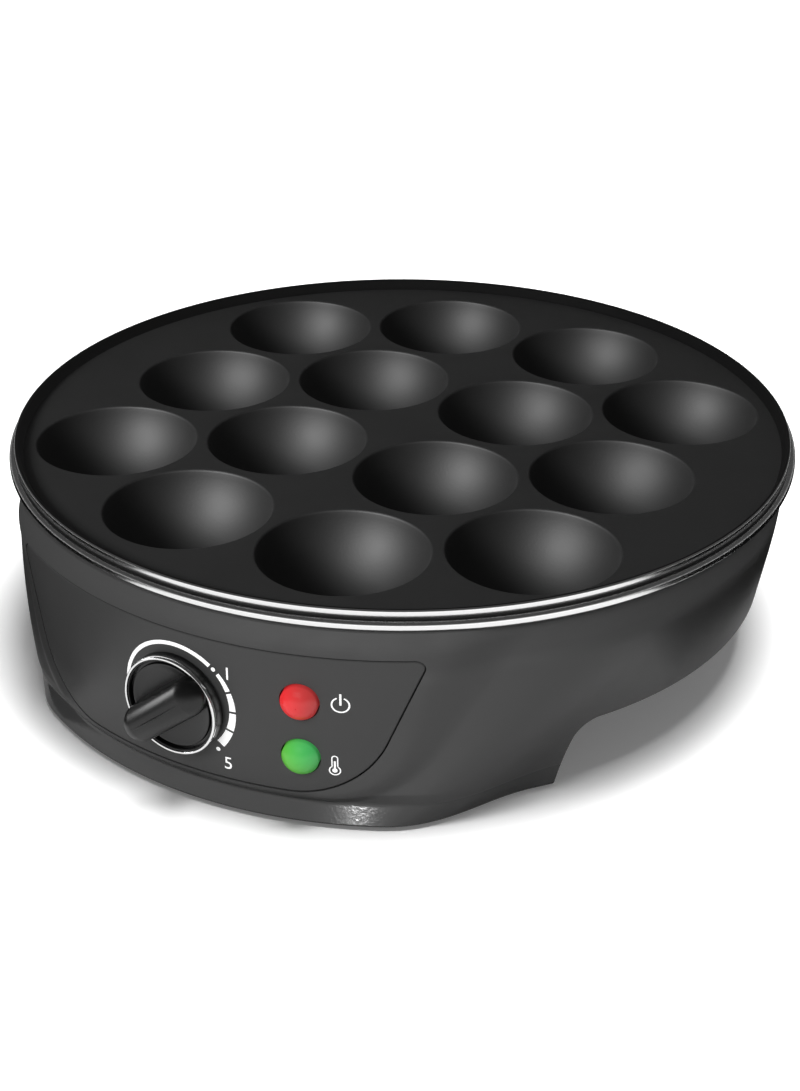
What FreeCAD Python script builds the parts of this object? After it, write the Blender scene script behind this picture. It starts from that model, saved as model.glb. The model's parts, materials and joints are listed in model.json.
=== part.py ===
"""Takoyaki maker: a round table-top cooker with fourteen half-round hollows and a front dial.

Modelled in millimetres with +Z up and the dial facing -Y. The model stands on Z = 0 round the
axis of the cooking plate, and is moved along Y on export, so that the origin lies under the
middle of its outer box.
"""
import FreeCAD, Part
import math
import os

V = FreeCAD.Vector
UP = V(0, 0, 1)
FRONT = V(0, -1, 0)
REAR = V(0, 1, 0)

# Cooking plate: a cast disc with half-round hollows in columns of three, four, four and three.
plate_surface = 58.0
plate_thickness = 3.0
plate_margin = 3.6
plate_lip_width = 2.4
plate_lip_height = 3.0
plate_lip_thickness = 1.9
plate_lip_slope = 1.3
plate_lip_round = 0.5
plate_edge_thickness = 1.1
plate_edge_width = 3.4
plate_wall_offset = 1.0
hollow_radius = 22.1
hollow_depth = 19.0
hollow_wall = 1.8
hollow_edge_round = 0.7
row_web = 3.7
column_web = 3.1
stagger_web = 3.325

# Seal and trim ring between the plate and the housing.
seal_width = 0.7
trim_bead_width = 2.1
trim_bead_top = 0.35
trim_bead_slope = 1.0
trim_bead_lip = 0.4
trim_sheet = 1.0
trim_bead_height = 1.75
trim_ledge_width = 3.7
seal_gap = 0.05
seal_top_leg = 0.6

# Housing: a moulded shell with a wide nose at the front and an arch in each side.
wall = 2.5
trim_overhang = 4.0
shoulder_width = 1.5
shoulder_drop = 4.2
shoulder_round = 1.4
foot_draw = 6.2
nose_flare = 4.2
nose_half_top = 54.0
nose_half_foot = 27.0
nose_fade = 22.0
skirt_lift = 1.0
arch_half_width = 60.0
arch_height = 19.4
arch_round = 6.0
section_count = 8
section_step = 5

# Raised pad on the nose that carries the control panel, and the flush panel in it.
pad_rise = 4.5
pad_top_drop = 2.4
pad_foot_drop = 52.0
pad_half_top = 79.5
pad_half_foot = 54.5
pad_foot_round = 30.0
pad_top_round = 5.0
pad_edge_round = 3.0
panel_thickness = 2.5
seat_wall = 2.0
seat_gap = 0.05
panel_gap = 0.4
panel_top_drop = 9.0
panel_foot_drop = 48.2
panel_half_top = 60.6
panel_half_foot = 46.0
panel_foot_round = 24.5
panel_top_round = 2.0
panel_pin_radius = 1.5
panel_pin_length = 4.0

# Dial: knob, bright ring and thermostat shaft turn together on an axis along Y.
dial_drop = 28.8
dial_turn = 51.0
knob_radius = 13.4
knob_thickness = 3.2
knob_clearance = 0.3
grip_width = 9.6
grip_height = 7.3
grip_length = 26.4
grip_dish = 0.6
knob_shell = 1.0
knob_hub_radius = 5.0
knob_bore_depth = 7.2
ring_width = 0.8
ring_height = 0.9
ring_proud = 0.3
shaft_radius = 3.0
shaft_flat = 0.8
shaft_running_gap = 0.05
shaft_hole_gap = 0.6
clip_sheet = 0.4

# Thermostat behind the dial.
bracket_sheet = 1.2
bracket_half_width = 24.0
bracket_height = 13.0
bracket_boss_radius = 3.2
bracket_setback = 6.0
bracket_screw_x = 20.0
bush_radius = 4.5
bush_length = 5.4
bush_gap = 0.1
nut_flats = 13.0
nut_thickness = 2.4
thermostat_width = 24.0
thermostat_height = 19.0
thermostat_depth = 14.0
thermostat_round = 2.0
tab_width = 6.3
tab_sheet = 0.8
tab_length = 7.0
sensor_width = 8.0
sensor_sheet = 1.0
sensor_foot = 6.0

# Signal lamps beside the dial, each square to the curved panel.
lamp_angle = 16.8
power_lamp_drop = 21.9
ready_lamp_drop = 37.6
lens_radius = 4.7
lens_gap = 0.1
lens_proud = 0.6
lens_dome = 2.8
lens_flange_radius = 6.1
lens_flange = 1.2
lens_wall = 1.2
holder_length = 7.0
neon_radius = 2.6
neon_length = 11.0
neon_gap = 0.15

# Heater: one tubular element that runs round under the hollows, with both legs at the rear.
element_tube = 3.25
element_gap = 0.3
element_bend = 9.0
element_leg_x = 12.0
element_leg_length = 16.0
collar_radius = 4.2
collar_length = 5.0
pin_radius = 1.2
pin_length = 7.0
clamp_sheet = 1.0
clamp_width = 7.0
clamp_boss_radius = 3.4
clamp_reach = 7.27

# Heat shield under the element, held by three posts of the plate.
shield_margin = 16.0
shield_sheet = 0.8
shield_drop = 3.0
shield_rim = 3.0
shield_front_cut = 72.0
shield_post_radius = 3.4

# Fixings that hold plate, housing and base cover together.
fixing_inset = 16.0
fixing_angle = 15.26
plate_post_radius = 4.0
plate_post_length = 16.0
boss_radius = 4.6
boss_bite = 0.6
boss_hole_radius = 2.1
boss_rib = 2.0
cover_screw_angle = 30.0
cover_boss_height = 12.0
screw_radius = 1.9
screw_head_radius = 3.6
screw_head_height = 2.2
screw_bite = 9.0
screw_gap = 0.05
small_screw_radius = 1.4
small_head_radius = 2.7
small_head_height = 1.6
small_bite = 6.0

# Base cover: a middle deck over the side arches, and a lower deck in front and behind.
cover_sheet = 2.0
cover_gap = 0.4
cover_recess = 0.4
cover_step = 1.0
cover_deck_drop = 10.3
vent_width = 3.0
vent_length = 34.0
vent_pitch = 8.0
vent_rows = 7

# Feet.
foot_angle = 38.0
foot_boss_radius = 8.0
foot_pad_radius = 6.6
foot_pad_recess = 0.7
foot_stem_radius = 2.4
foot_stem_length = 6.0
foot_stem_gap = 0.1

# Mains connection.
inlet_drop = 37.0
inlet_bore = 3.6
inlet_barrel_radius = 5.6
inlet_flange_radius = 8.4
inlet_flange = 1.8
inlet_seat_inset = 0.65
inlet_length = 10.2
inlet_lip = 0.8
inlet_lip_width = 1.5
inlet_gap = 0.1
block_inset = 23.0
block_width = 30.0
block_depth = 13.0
block_height = 9.0
block_poles = 3
pole_radius = 2.2
fuse_radius = 2.2
fuse_length = 14.0
fuse_y = 24.0
fuse_clip_width = 6.0
fuse_clip_sheet = 0.6

# Places worked out from the sizes above.
hollow_pitch = 2 * hollow_radius + row_web
inner_column = hollow_radius + column_web / 2
outer_column = inner_column + math.sqrt((2 * hollow_radius + stagger_web) ** 2 - (hollow_pitch / 2) ** 2)
plate_floor_radius = math.hypot(outer_column, hollow_pitch) + hollow_radius + plate_margin
plate_lip_radius = plate_floor_radius + plate_lip_width
plate_wall_radius = plate_floor_radius + plate_wall_offset
trim_bead_inner = plate_wall_radius + seal_width
trim_radius = trim_bead_inner + trim_bead_width
neck_radius = trim_radius - trim_overhang
shoulder_radius = neck_radius + shoulder_width
foot_radius = shoulder_radius - foot_draw
nose_radius = shoulder_radius + nose_flare
pad_radius = shoulder_radius + pad_rise
gap_x = (2 * inner_column + outer_column) / 3
element_radius = math.hypot(gap_x, hollow_pitch) + clamp_reach
element_leg_end = element_radius + element_leg_length
shield_radius = element_radius + shield_margin
fixing_reach = plate_wall_radius - fixing_inset
fixing_x = fixing_reach * math.cos(math.radians(fixing_angle))
fixing_y = fixing_reach * math.sin(math.radians(fixing_angle))
block_y = foot_radius - block_inset
trim_ledge_z = plate_surface - plate_edge_thickness
housing_top = trim_ledge_z - trim_sheet
shoulder_z = plate_surface - shoulder_drop
skirt_z = skirt_lift
arch_z = arch_height
dial_z = plate_surface - dial_drop
panel_seat_radius = pad_radius - panel_thickness
front_inner_radius = panel_seat_radius - seat_wall
knob_back_y = -(pad_radius + knob_clearance)
knob_face_y = knob_back_y - knob_thickness
grip_tip_y = knob_face_y - grip_height
bracket_y = -(front_inner_radius - bracket_setback)
thermostat_front_y = bracket_y + bracket_sheet
hollow_sphere = (hollow_radius ** 2 + hollow_depth ** 2) / (2 * hollow_depth)
hollow_bottom = plate_surface - hollow_depth - hollow_wall
element_z = hollow_bottom - element_gap - element_tube
clamp_seat = element_z + clamp_sheet / 2
shield_top = element_z - element_tube - shield_drop
cover_low = arch_z + cover_recess
cover_top = cover_low + cover_sheet
deck_low = cover_low - cover_deck_drop
deck_top = deck_low + cover_sheet
cover_step_y = arch_half_width + cover_step
plate_underside = plate_surface - plate_thickness
post_foot = plate_underside - plate_post_length
inlet_z = plate_surface - inlet_drop
frame_shift = (-grip_tip_y - trim_radius) / 2


# ---------------------------------------------------------------------------
# Helpers
# ---------------------------------------------------------------------------

def revolved(points):
    """Solid of revolution about Z from (radius, height) points."""
    wire = Part.makePolygon([V(r, 0, z) for r, z in points] + [V(points[0][0], 0, points[0][1])])
    return Part.Face(wire).revolve(V(0, 0, 0), UP, 360)


def block(x0, x1, y0, y1, z0, z1):
    """Box between two corners."""
    return Part.makeBox(x1 - x0, y1 - y0, z1 - z0, V(x0, y0, z0))


def rod(radius, length, start, axis=UP):
    """Cylinder that starts at a point and runs along an axis."""
    return Part.makeCylinder(radius, length, start, axis)


def tube(outer, inner, length, start, axis=UP):
    """Hollow cylinder."""
    return rod(outer, length, start, axis).cut(rod(inner, length, start, axis))


def fused(shapes):
    """One solid out of shapes that overlap."""
    first = shapes[0]
    if len(shapes) == 1:
        return first
    return first.fuse(shapes[1:]).removeSplitter()


def group(shapes):
    """Separate solids of one node."""
    return Part.makeCompound(shapes)


def polar(radius, angle, z):
    """Point at an angle in degrees from the front (-Y), positive towards +X."""
    turn = math.radians(angle)
    return V(radius * math.sin(turn), -radius * math.cos(turn), z)


def outward(angle):
    """Unit vector that points away from the axis at an angle from the front."""
    return polar(1.0, angle, 0)


def cosine_fade(share):
    """1 for a share of 0 and less, 0 for 1 and more, and smooth between."""
    return (1 + math.cos(math.pi * min(max(share, 0.0), 1.0))) / 2


def is_circle(edge, radius):
    """True for a circular edge of a radius."""
    if edge.Degenerated or not isinstance(edge.Curve, Part.Circle):
        return False
    return abs(edge.Curve.Radius - radius) < 1e-4


def rim_edge(shape, point, radius):
    """Circular edge of a shape that has its centre at the point and the radius."""
    for edge in shape.Edges:
        if is_circle(edge, radius) and edge.Curve.Center.isEqual(point, 1e-5):
            return edge
    raise ValueError("no such rim")


def screw(seat, axis, length, radius, head_radius, head_height):
    """Round-headed screw: its head lies before the seat and its shank runs along the axis."""
    crown = seat - axis * head_height
    head = rod(head_radius, head_height, crown, axis)
    head = head.makeFillet(head_height * 0.45, [rim_edge(head, crown, head_radius)])
    return fused([head, rod(radius, length, seat, axis)])


def hollow_places():
    """Centres of the fourteen hollows."""
    places = []
    for side in (-1, 1):
        for row in range(4):
            places.append((side * inner_column, (row - 1.5) * hollow_pitch))
        for row in range(3):
            places.append((side * outer_column, (row - 1) * hollow_pitch))
    return places


def corners(x, y):
    """The four places that mirror each other about both axes."""
    return [(sx * x, sy * y) for sx in (-1, 1) for sy in (-1, 1)]


def trapezoid_prism(half_top, z_top, half_foot, z_foot, foot_round, top_round, grow=0.0):
    """Prism along Y with a trapezoid outline seen from the front and rounded corners."""
    y_far = -(pad_radius + 4 * wall)
    y_near = -pad_radius * 0.45
    top = half_top + grow
    foot = half_foot + grow
    outline = [(-top, z_top + grow), (top, z_top + grow), (foot, z_foot - grow), (-foot, z_foot - grow)]
    outline.append(outline[0])
    face = Part.Face(Part.makePolygon([V(x, y_near, z) for x, z in outline]))
    prism = face.extrude(V(0, y_far - y_near, 0))
    for height, radius in ((z_foot - grow, foot_round + grow), (z_top + grow, top_round + grow)):
        edges = [e for e in prism.Edges if lies_at(e, height) and runs_along_y(e)]
        prism = prism.makeFillet(radius, edges)
    return prism


def lies_at(edge, z):
    """True where both ends of an edge are at a height."""
    return all(abs(v.Z - z) < 1e-6 for v in edge.Vertexes)


def runs_along_y(edge):
    """True for a straight edge along Y."""
    ends = edge.Vertexes
    return len(ends) == 2 and abs(ends[0].X - ends[1].X) < 1e-6 and abs(ends[0].Y - ends[1].Y) > 1


# ---------------------------------------------------------------------------
# Form of the housing
# ---------------------------------------------------------------------------

def depth_share(z):
    """0 at the shoulder and 1 at the foot of the skirt."""
    return min(max((shoulder_z - z) / (shoulder_z - skirt_z), 0.0), 1.0)


def round_radius(z):
    """Radius of the round body, drawn in from shoulder to foot by an S-shaped curve."""
    return foot_radius + (shoulder_radius - foot_radius) * cosine_fade(depth_share(z))


def nose_front_radius(z):
    """Radius at the middle of the nose, which flares towards the foot."""
    return shoulder_radius + (nose_radius - shoulder_radius) * depth_share(z)


def body_radius(angle, z, inset):
    """Radius of the housing at an angle from the front, or of its inner face for an inset."""
    half = nose_half_top + (nose_half_foot - nose_half_top) * depth_share(z)
    share = cosine_fade((abs(angle) - half) / nose_fade)
    side = round_radius(z) - inset
    front = nose_front_radius(z) - inset
    if inset:
        front = min(front, front_inner_radius + wall - inset)
    return side + (front - side) * share


def body_section(z, inset):
    """Closed smooth curve round the housing at a height."""
    angles = range(-180, 180, section_step)
    curve = Part.BSplineCurve()
    curve.interpolate(Points=[polar(body_radius(a, z, inset), a, z) for a in angles], PeriodicFlag=True)
    return Part.Wire(curve.toShape())


def body_form(z_low, z_high, inset, sections=2):
    """Solid of the housing's form between two heights."""
    heights = [z_low + (z_high - z_low) * i / (sections - 1) for i in range(sections)]
    return Part.makeLoft([body_section(z, inset) for z in heights], True, sections == 2)


def foot_places():
    """Foot of each foot boss under the base cover, by name."""
    places = {}
    for side, end in (("left", -1), ("right", 1)):
        for row, angle in (("front", foot_angle), ("rear", 180 - foot_angle)):
            reach = body_radius(angle, skirt_z, wall) - foot_boss_radius - cover_gap
            places[row + "_" + side] = polar(reach, end * angle, skirt_z)
    return places


# ---------------------------------------------------------------------------
# Cooking plate, seal and trim ring
# ---------------------------------------------------------------------------

def gap_places():
    """The four spots between three hollows where the heater clamps are fixed."""
    return corners(gap_x, hollow_pitch)


def post_places():
    """The three spots on the middle line where the shield posts stand."""
    return [(0, -hollow_pitch), (0, 0), (0, hollow_pitch)]


def make_plate():
    lip_top = plate_surface + plate_lip_height
    lip_low = lip_top - plate_lip_thickness
    edge_low = plate_surface - plate_edge_thickness
    step = plate_wall_radius - plate_edge_width
    disc = revolved([
        (0, plate_surface), (plate_floor_radius, plate_surface),
        (plate_floor_radius + plate_lip_slope, lip_top),
        (plate_lip_radius - plate_lip_round, lip_top), (plate_lip_radius, lip_top - plate_lip_round),
        (plate_lip_radius, lip_low),
        (plate_wall_radius, lip_low), (plate_wall_radius, edge_low), (step, edge_low),
        (step, plate_underside), (0, plate_underside)])
    centre_z = hollow_bottom + hollow_wall + hollow_sphere
    shells = []
    hollows = []
    below = rod(trim_radius, trim_ledge_z, V(0, 0, 0))
    for x, y in hollow_places():
        ball = Part.makeSphere(hollow_sphere + hollow_wall, V(x, y, centre_z))
        shells.append(ball.common(below))
        hollows.append(Part.makeSphere(hollow_sphere, V(x, y, centre_z)))
    posts = [rod(plate_post_radius, plate_post_length, V(x, y, post_foot))
             for x, y in corners(fixing_x, fixing_y)]
    for x, y in gap_places():
        posts.append(rod(clamp_boss_radius, plate_underside - clamp_seat, V(x, y, clamp_seat)))
    for x, y in post_places():
        posts.append(rod(shield_post_radius, plate_underside - shield_top, V(x, y, shield_top)))
    solid = disc.fuse(shells + posts).cut(hollows)
    mouths = [e for e in solid.Edges if is_circle(e, hollow_radius) and lies_at(e, plate_surface)]
    solid = solid.makeFillet(hollow_edge_round, mouths)
    bore = screw_radius + screw_gap
    small_bore = small_screw_radius + screw_gap
    bores = [rod(bore, screw_bite + 1, V(x, y, post_foot)) for x, y in corners(fixing_x, fixing_y)]
    bores += [rod(small_bore, small_bite + 1, V(x, y, clamp_seat)) for x, y in gap_places()]
    bores += [rod(small_bore, small_bite + 1, V(x, y, shield_top)) for x, y in post_places()]
    return solid.cut(bores)


def make_seal():
    inner = plate_wall_radius + seal_gap
    outer = trim_bead_inner - seal_gap
    top = plate_surface + plate_lip_height - plate_lip_thickness - seal_gap
    step = plate_surface + trim_bead_top + seal_gap
    low = trim_ledge_z + seal_gap
    return revolved([(inner, low), (outer, low), (outer, step), (outer + seal_top_leg, step),
                     (outer + seal_top_leg, top), (inner, top)])


def make_trim_ring():
    top = plate_surface + trim_bead_top
    return revolved([
        (trim_bead_inner - trim_ledge_width, housing_top), (trim_bead_inner - trim_ledge_width, trim_ledge_z),
        (trim_bead_inner, trim_ledge_z), (trim_bead_inner, top), (trim_radius - trim_bead_slope, top),
        (trim_radius, top - trim_bead_height), (trim_radius, top - trim_bead_height - trim_bead_lip),
        (trim_radius - trim_bead_lip, housing_top)])


# ---------------------------------------------------------------------------
# Housing, control panel and base cover
# ---------------------------------------------------------------------------

def pad_form():
    """Raised pad of the nose, rounded along its front rim."""
    prism = trapezoid_prism(pad_half_top, plate_surface - pad_top_drop, pad_half_foot,
                            plate_surface - pad_foot_drop, pad_foot_round, pad_top_round)
    pad = prism.common(rod(pad_radius, plate_surface, V(0, 0, 0)))
    face = max(pad.Faces, key=lambda f: f.Area if isinstance(f.Surface, Part.Cylinder) else 0)
    return pad.makeFillet(pad_edge_round, face.Edges)


def panel_form(grow):
    """Prism with the panel's outline, grown by a gap."""
    return trapezoid_prism(panel_half_top, plate_surface - panel_top_drop, panel_half_foot,
                           plate_surface - panel_foot_drop, panel_foot_round, panel_top_round, grow)


def panel_pin_places():
    """Front-view places of the four pins on the back of the panel."""
    high = plate_surface - panel_top_drop - 3 * panel_pin_radius
    low = plate_surface - panel_foot_drop + 3 * panel_pin_radius
    return [(side * (panel_half_foot - panel_foot_round), z) for side in (-1, 1) for z in (low, high)]


def lamp_heights():
    """Height of each signal lamp, by its name."""
    return {"power": plate_surface - power_lamp_drop, "ready": plate_surface - ready_lamp_drop}


def control_holes():
    """Cutters for the shaft and the two lamps, through panel and wall."""
    holes = [rod(shaft_radius + shaft_hole_gap, 4 * wall, V(0, -pad_radius - wall, dial_z), REAR)]
    for z in lamp_heights().values():
        start = polar(pad_radius - 4 * wall, lamp_angle, z)
        holes.append(rod(lens_radius + lens_gap, 6 * wall, start, outward(lamp_angle)))
    return holes


def lens_seat():
    """Distance from the axis at which a lens flange lies against the wall."""
    return front_inner_radius + lens_gap


def cover_screw_places():
    """Where the base cover's own screws go up into the housing."""
    places = []
    for side in (-1, 1):
        for angle in (cover_screw_angle, 180 - cover_screw_angle):
            reach = body_radius(angle, deck_top, wall) - boss_radius + boss_bite
            places.append(polar(reach, side * angle, deck_low))
    return places


def make_control_panel():
    plate = tube(pad_radius, panel_seat_radius, plate_surface, V(0, 0, 0)).common(panel_form(0.0))
    plate = max(plate.Solids, key=lambda solid: -solid.CenterOfMass.y)
    pins = []
    for x, z in panel_pin_places():
        back = math.sqrt(panel_seat_radius ** 2 - x * x)
        pins.append(rod(panel_pin_radius, panel_pin_length + 1, V(x, -back - 1, z), REAR))
    return plate.fuse(pins).cut(control_holes())


def make_housing():
    outer = body_form(skirt_z, shoulder_z, 0, section_count)
    rim = [e for e in outer.Edges if lies_at(e, shoulder_z)]
    outer = outer.makeFillet(shoulder_round, rim)
    neck = rod(neck_radius, housing_top - shoulder_z + shoulder_round, V(0, 0, shoulder_z - shoulder_round))
    outer = outer.fuse([neck, pad_form()])
    bore_radius = trim_bead_inner - trim_ledge_width - seal_gap
    cavity = body_form(skirt_z - 1, shoulder_z, wall, section_count)
    throat = rod(bore_radius, plate_surface - shoulder_z, V(0, 0, shoulder_z - 0.5))
    shell = outer.cut([cavity, throat])
    additions = housing_bosses()
    shell = shell.fuse(additions)
    before_seat = tube(pad_radius + 3 * wall, panel_seat_radius - seat_gap, plate_surface, V(0, 0, 0))
    recess = before_seat.common(panel_form(panel_gap))
    cuts = [recess] + control_holes() + housing_holes() + [arch_form()]
    return shell.cut(cuts)


def arch_form():
    """Cutter for the arch in both sides, with rounded upper corners."""
    reach = trim_radius + wall
    arch = block(-reach, reach, -arch_half_width, arch_half_width, -1, arch_z)
    top = [e for e in arch.Edges if lies_at(e, arch_z) and abs(e.Vertexes[0].X - e.Vertexes[1].X) > 1]
    return arch.makeFillet(arch_round, top)


def housing_bosses():
    """Screw and foot bosses with the ribs that tie them to the wall."""
    trim = body_form(skirt_z, shoulder_z, wall / 2, section_count)
    bosses = []
    for x, y in corners(fixing_x, fixing_y):
        bosses.append(rod(boss_radius, post_foot - cover_top, V(x, y, cover_top)))
        angle = math.degrees(math.atan2(x, -y))
        reach = math.hypot(x, y)
        rib = block(-boss_rib / 2, boss_rib / 2, -trim_radius, -reach, cover_top, post_foot - boss_rib)
        rib.rotate(V(0, 0, 0), UP, angle)
        bosses.append(rib.common(trim))
    for place in cover_screw_places():
        low = V(place.x, place.y, deck_top)
        bosses.append(rod(boss_radius, cover_boss_height, low).common(trim))
    for side in (-1, 1):
        start = V(side * bracket_screw_x, -front_inner_radius + 1.0, dial_z)
        bosses.append(rod(bracket_boss_radius, bracket_setback - 1.0, start, REAR))
    return bosses


def housing_holes():
    """Cutters for screws, pins, lamp seats, feet and the mains inlet."""
    holes = [rod(boss_hole_radius, post_foot, V(x, y, 0)) for x, y in corners(fixing_x, fixing_y)]
    bore = screw_radius + screw_gap
    holes += [rod(bore, screw_bite + 1, V(p.x, p.y, deck_top)) for p in cover_screw_places()]
    for side in (-1, 1):
        start = V(side * bracket_screw_x, bracket_y, dial_z)
        holes.append(rod(small_screw_radius + screw_gap, bracket_setback - 2, start, FRONT))
    for x, z in panel_pin_places():
        holes.append(rod(panel_pin_radius + screw_gap, pad_radius, V(x, -pad_radius, z), REAR).common(
            block(-pad_radius, pad_radius, -pad_radius, -pad_radius * 0.7, 0, plate_surface)))
    for z in lamp_heights().values():
        start = polar(lens_seat() - 3 * wall, lamp_angle, z)
        holes.append(rod(lens_flange_radius + lens_gap, 3 * wall, start, outward(lamp_angle)))
    seat = inlet_seat_y()
    holes.append(rod(inlet_flange_radius + inlet_gap, 3 * wall, V(0, seat, inlet_z), REAR))
    holes.append(rod(inlet_barrel_radius + inlet_gap, 4 * wall, V(0, seat - 3 * wall, inlet_z), REAR))
    return holes


def inlet_seat_y():
    """Flat seat of the inlet flange in the rear wall."""
    return round_radius(inlet_z) - inlet_seat_inset


def make_base_cover():
    inset = wall + cover_gap
    reach = 2 * trim_radius
    step = cover_step_y
    inner = step - cover_sheet
    cover = body_form(deck_low, cover_top, inset).cut([
        block(-reach, reach, -inner, inner, deck_low - 1, cover_low),
        block(-reach, reach, step, reach, deck_top, cover_top + 1),
        block(-reach, reach, -reach, -step, deck_top, cover_top + 1)])
    cover = cover.fuse([rod(foot_boss_radius, deck_top - skirt_z, place) for place in foot_places().values()])
    cuts = []
    for place in foot_places().values():
        cuts.append(rod(foot_pad_radius + foot_stem_gap, foot_pad_recess + 1, place - UP))
        cuts.append(rod(foot_stem_radius + foot_stem_gap, foot_stem_length + foot_pad_recess + 0.5, place))
    cuts += [rod(boss_hole_radius, cover_top, V(x, y, 0)) for x, y in corners(fixing_x, fixing_y)]
    cuts += [rod(boss_hole_radius, cover_top, V(p.x, p.y, 0)) for p in cover_screw_places()]
    for row in range(vent_rows):
        y = (row - (vent_rows - 1) / 2) * vent_pitch
        for side in (-1, 1):
            x = side * (vent_length / 2 + vent_pitch)
            cuts.append(block(x - vent_length / 2, x + vent_length / 2,
                              y - vent_width / 2, y + vent_width / 2, 0, plate_surface))
    return cover.cut(cuts)


def foot_pad(place):
    """Rubber foot: a pad with a stem that plugs into its boss."""
    base = V(place.x, place.y, 0)
    pad = rod(foot_pad_radius, skirt_z + foot_pad_recess, base)
    pad = pad.makeChamfer(0.5, [rim_edge(pad, base, foot_pad_radius)])
    stem = rod(foot_stem_radius, foot_stem_length + foot_pad_recess, base + UP * skirt_z)
    return fused([pad, stem])


# ---------------------------------------------------------------------------
# Dial and thermostat
# ---------------------------------------------------------------------------

def turned(shape):
    """Shape turned about the dial's axis from upright to the dial's setting."""
    shape.rotate(V(0, 0, dial_z), REAR, dial_turn)
    return shape


def shaft_form(radius, y_front, y_rear, flat_to):
    """Shaft along Y with a flat on its side from its front end up to a depth."""
    length = y_rear - y_front
    shaft = rod(radius, length, V(0, y_front, dial_z), REAR)
    flat = block(-radius, radius, y_front, flat_to, dial_z + radius - shaft_flat, dial_z + radius + 1)
    return shaft.cut(flat)


def make_knob():
    centre = V(0, knob_back_y, dial_z)
    disc = rod(knob_radius, knob_thickness, centre, FRONT)
    dish_floor = knob_face_y + grip_dish
    hub_length = knob_thickness - grip_dish - knob_shell
    disc = disc.cut([
        rod(knob_radius - ring_width, grip_dish, V(0, dish_floor, dial_z), FRONT),
        tube(knob_radius - knob_shell, knob_hub_radius, hub_length, centre, FRONT)])
    radius = grip_width / 2
    half = grip_length / 2 - radius
    crest = knob_face_y - grip_height + radius
    bar = [block(-radius, radius, crest, dish_floor, dial_z - half, dial_z + half),
           rod(radius, 2 * half, V(0, crest, dial_z - half))]
    for end in (-half, half):
        bar.append(rod(radius, dish_floor - crest, V(0, crest, dial_z + end), REAR))
        bar.append(Part.makeSphere(radius, V(0, crest, dial_z + end)))
    low_z = dial_z - knob_radius
    high_z = dial_z + knob_radius
    before_dish = block(-knob_radius, knob_radius, grip_tip_y - 1, dish_floor, low_z, high_z)
    grip = fused(bar).common(before_dish)
    groove = tube(knob_radius + 1, knob_radius - ring_width, ring_height + shaft_running_gap,
                  V(0, ring_back_y(), dial_z), FRONT)
    knob = fused([disc, grip]).cut(groove)
    bore_end = knob_back_y - knob_bore_depth
    bore = shaft_form(shaft_radius + shaft_running_gap, bore_end, knob_back_y + 1, knob_back_y + 1)
    return turned(knob.cut(bore))


def ring_back_y():
    """Seat of the ring on the knob's rim."""
    return knob_face_y - ring_proud + ring_height


def make_knob_ring():
    inner = knob_radius - ring_width + shaft_running_gap
    return tube(knob_radius, inner, ring_height, V(0, ring_back_y(), dial_z), FRONT)


def make_shaft():
    rear = thermostat_front_y + thermostat_depth * 0.8
    front = knob_back_y - knob_bore_depth + 0.2
    return turned(shaft_form(shaft_radius, front, rear, knob_back_y + 1))


def make_knob_clip():
    """Spring collar pressed round the knob's hub."""
    start = V(0, knob_back_y - knob_clearance, dial_z)
    length = knob_thickness - grip_dish - knob_shell - 2 * knob_clearance
    return tube(knob_hub_radius + shaft_running_gap + clip_sheet, knob_hub_radius + shaft_running_gap,
                length, start, FRONT)


def make_thermostat_body():
    half = thermostat_width / 2
    low = dial_z - thermostat_height / 2
    body = block(-half, half, thermostat_front_y, thermostat_front_y + thermostat_depth, low,
                 low + thermostat_height)
    body = body.makeFillet(thermostat_round, [e for e in body.Edges if runs_along_y(e)])
    bush = rod(bush_radius, bush_length + 1, V(0, thermostat_front_y + 1, dial_z), FRONT)
    tabs = []
    back = thermostat_front_y + thermostat_depth
    for side in (-1, 1):
        x = side * thermostat_width / 4
        tabs.append(block(x - tab_sheet / 2, x + tab_sheet / 2, back - 1, back + tab_length,
                          dial_z - tab_width / 2, dial_z + tab_width / 2))
    bore_length = bush_length + thermostat_depth * 0.8 + 0.2
    bore = rod(shaft_radius + shaft_running_gap, bore_length,
               V(0, thermostat_front_y - bush_length, dial_z), REAR)
    return fused([body, bush] + tabs).cut(bore)


def make_bracket():
    plate = block(-bracket_half_width, bracket_half_width, bracket_y, bracket_y + bracket_sheet,
                  dial_z - bracket_height, dial_z + bracket_height)
    corners_along_y = [e for e in plate.Edges if runs_along_y(e)]
    plate = plate.makeFillet(thermostat_round, corners_along_y)
    holes = [rod(bush_radius + bush_gap, 2 * bracket_sheet, V(0, bracket_y - 0.5, dial_z), REAR)]
    for side in (-1, 1):
        start = V(side * bracket_screw_x, bracket_y - 0.5, dial_z)
        holes.append(rod(small_screw_radius + 2 * screw_gap, 2 * bracket_sheet, start, REAR))
    return plate.cut(holes)


def make_nut():
    radius = nut_flats / math.sqrt(3)
    turns = [math.radians(60 * i) for i in range(7)]
    points = [V(radius * math.cos(turn), bracket_y, dial_z + radius * math.sin(turn)) for turn in turns]
    nut = Part.Face(Part.makePolygon(points)).extrude(V(0, -nut_thickness, 0))
    return nut.cut(rod(bush_radius + screw_gap, 3 * nut_thickness, V(0, bracket_y + 1, dial_z), FRONT))


def make_sensor_strip():
    """Copper strip that carries the plate's heat down to the thermostat."""
    half = sensor_width / 2
    body_top = dial_z + thermostat_height / 2
    back = thermostat_front_y + thermostat_depth
    front = back - sensor_foot
    upright = block(-half, half, front, front + sensor_sheet, body_top, plate_underside)
    foot = block(-half, half, front, back, body_top, body_top + sensor_sheet)
    head = block(-half, half, front, back, plate_underside - sensor_sheet, plate_underside)
    return fused([upright, foot, head])


# ---------------------------------------------------------------------------
# Signal lamps
# ---------------------------------------------------------------------------

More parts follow.
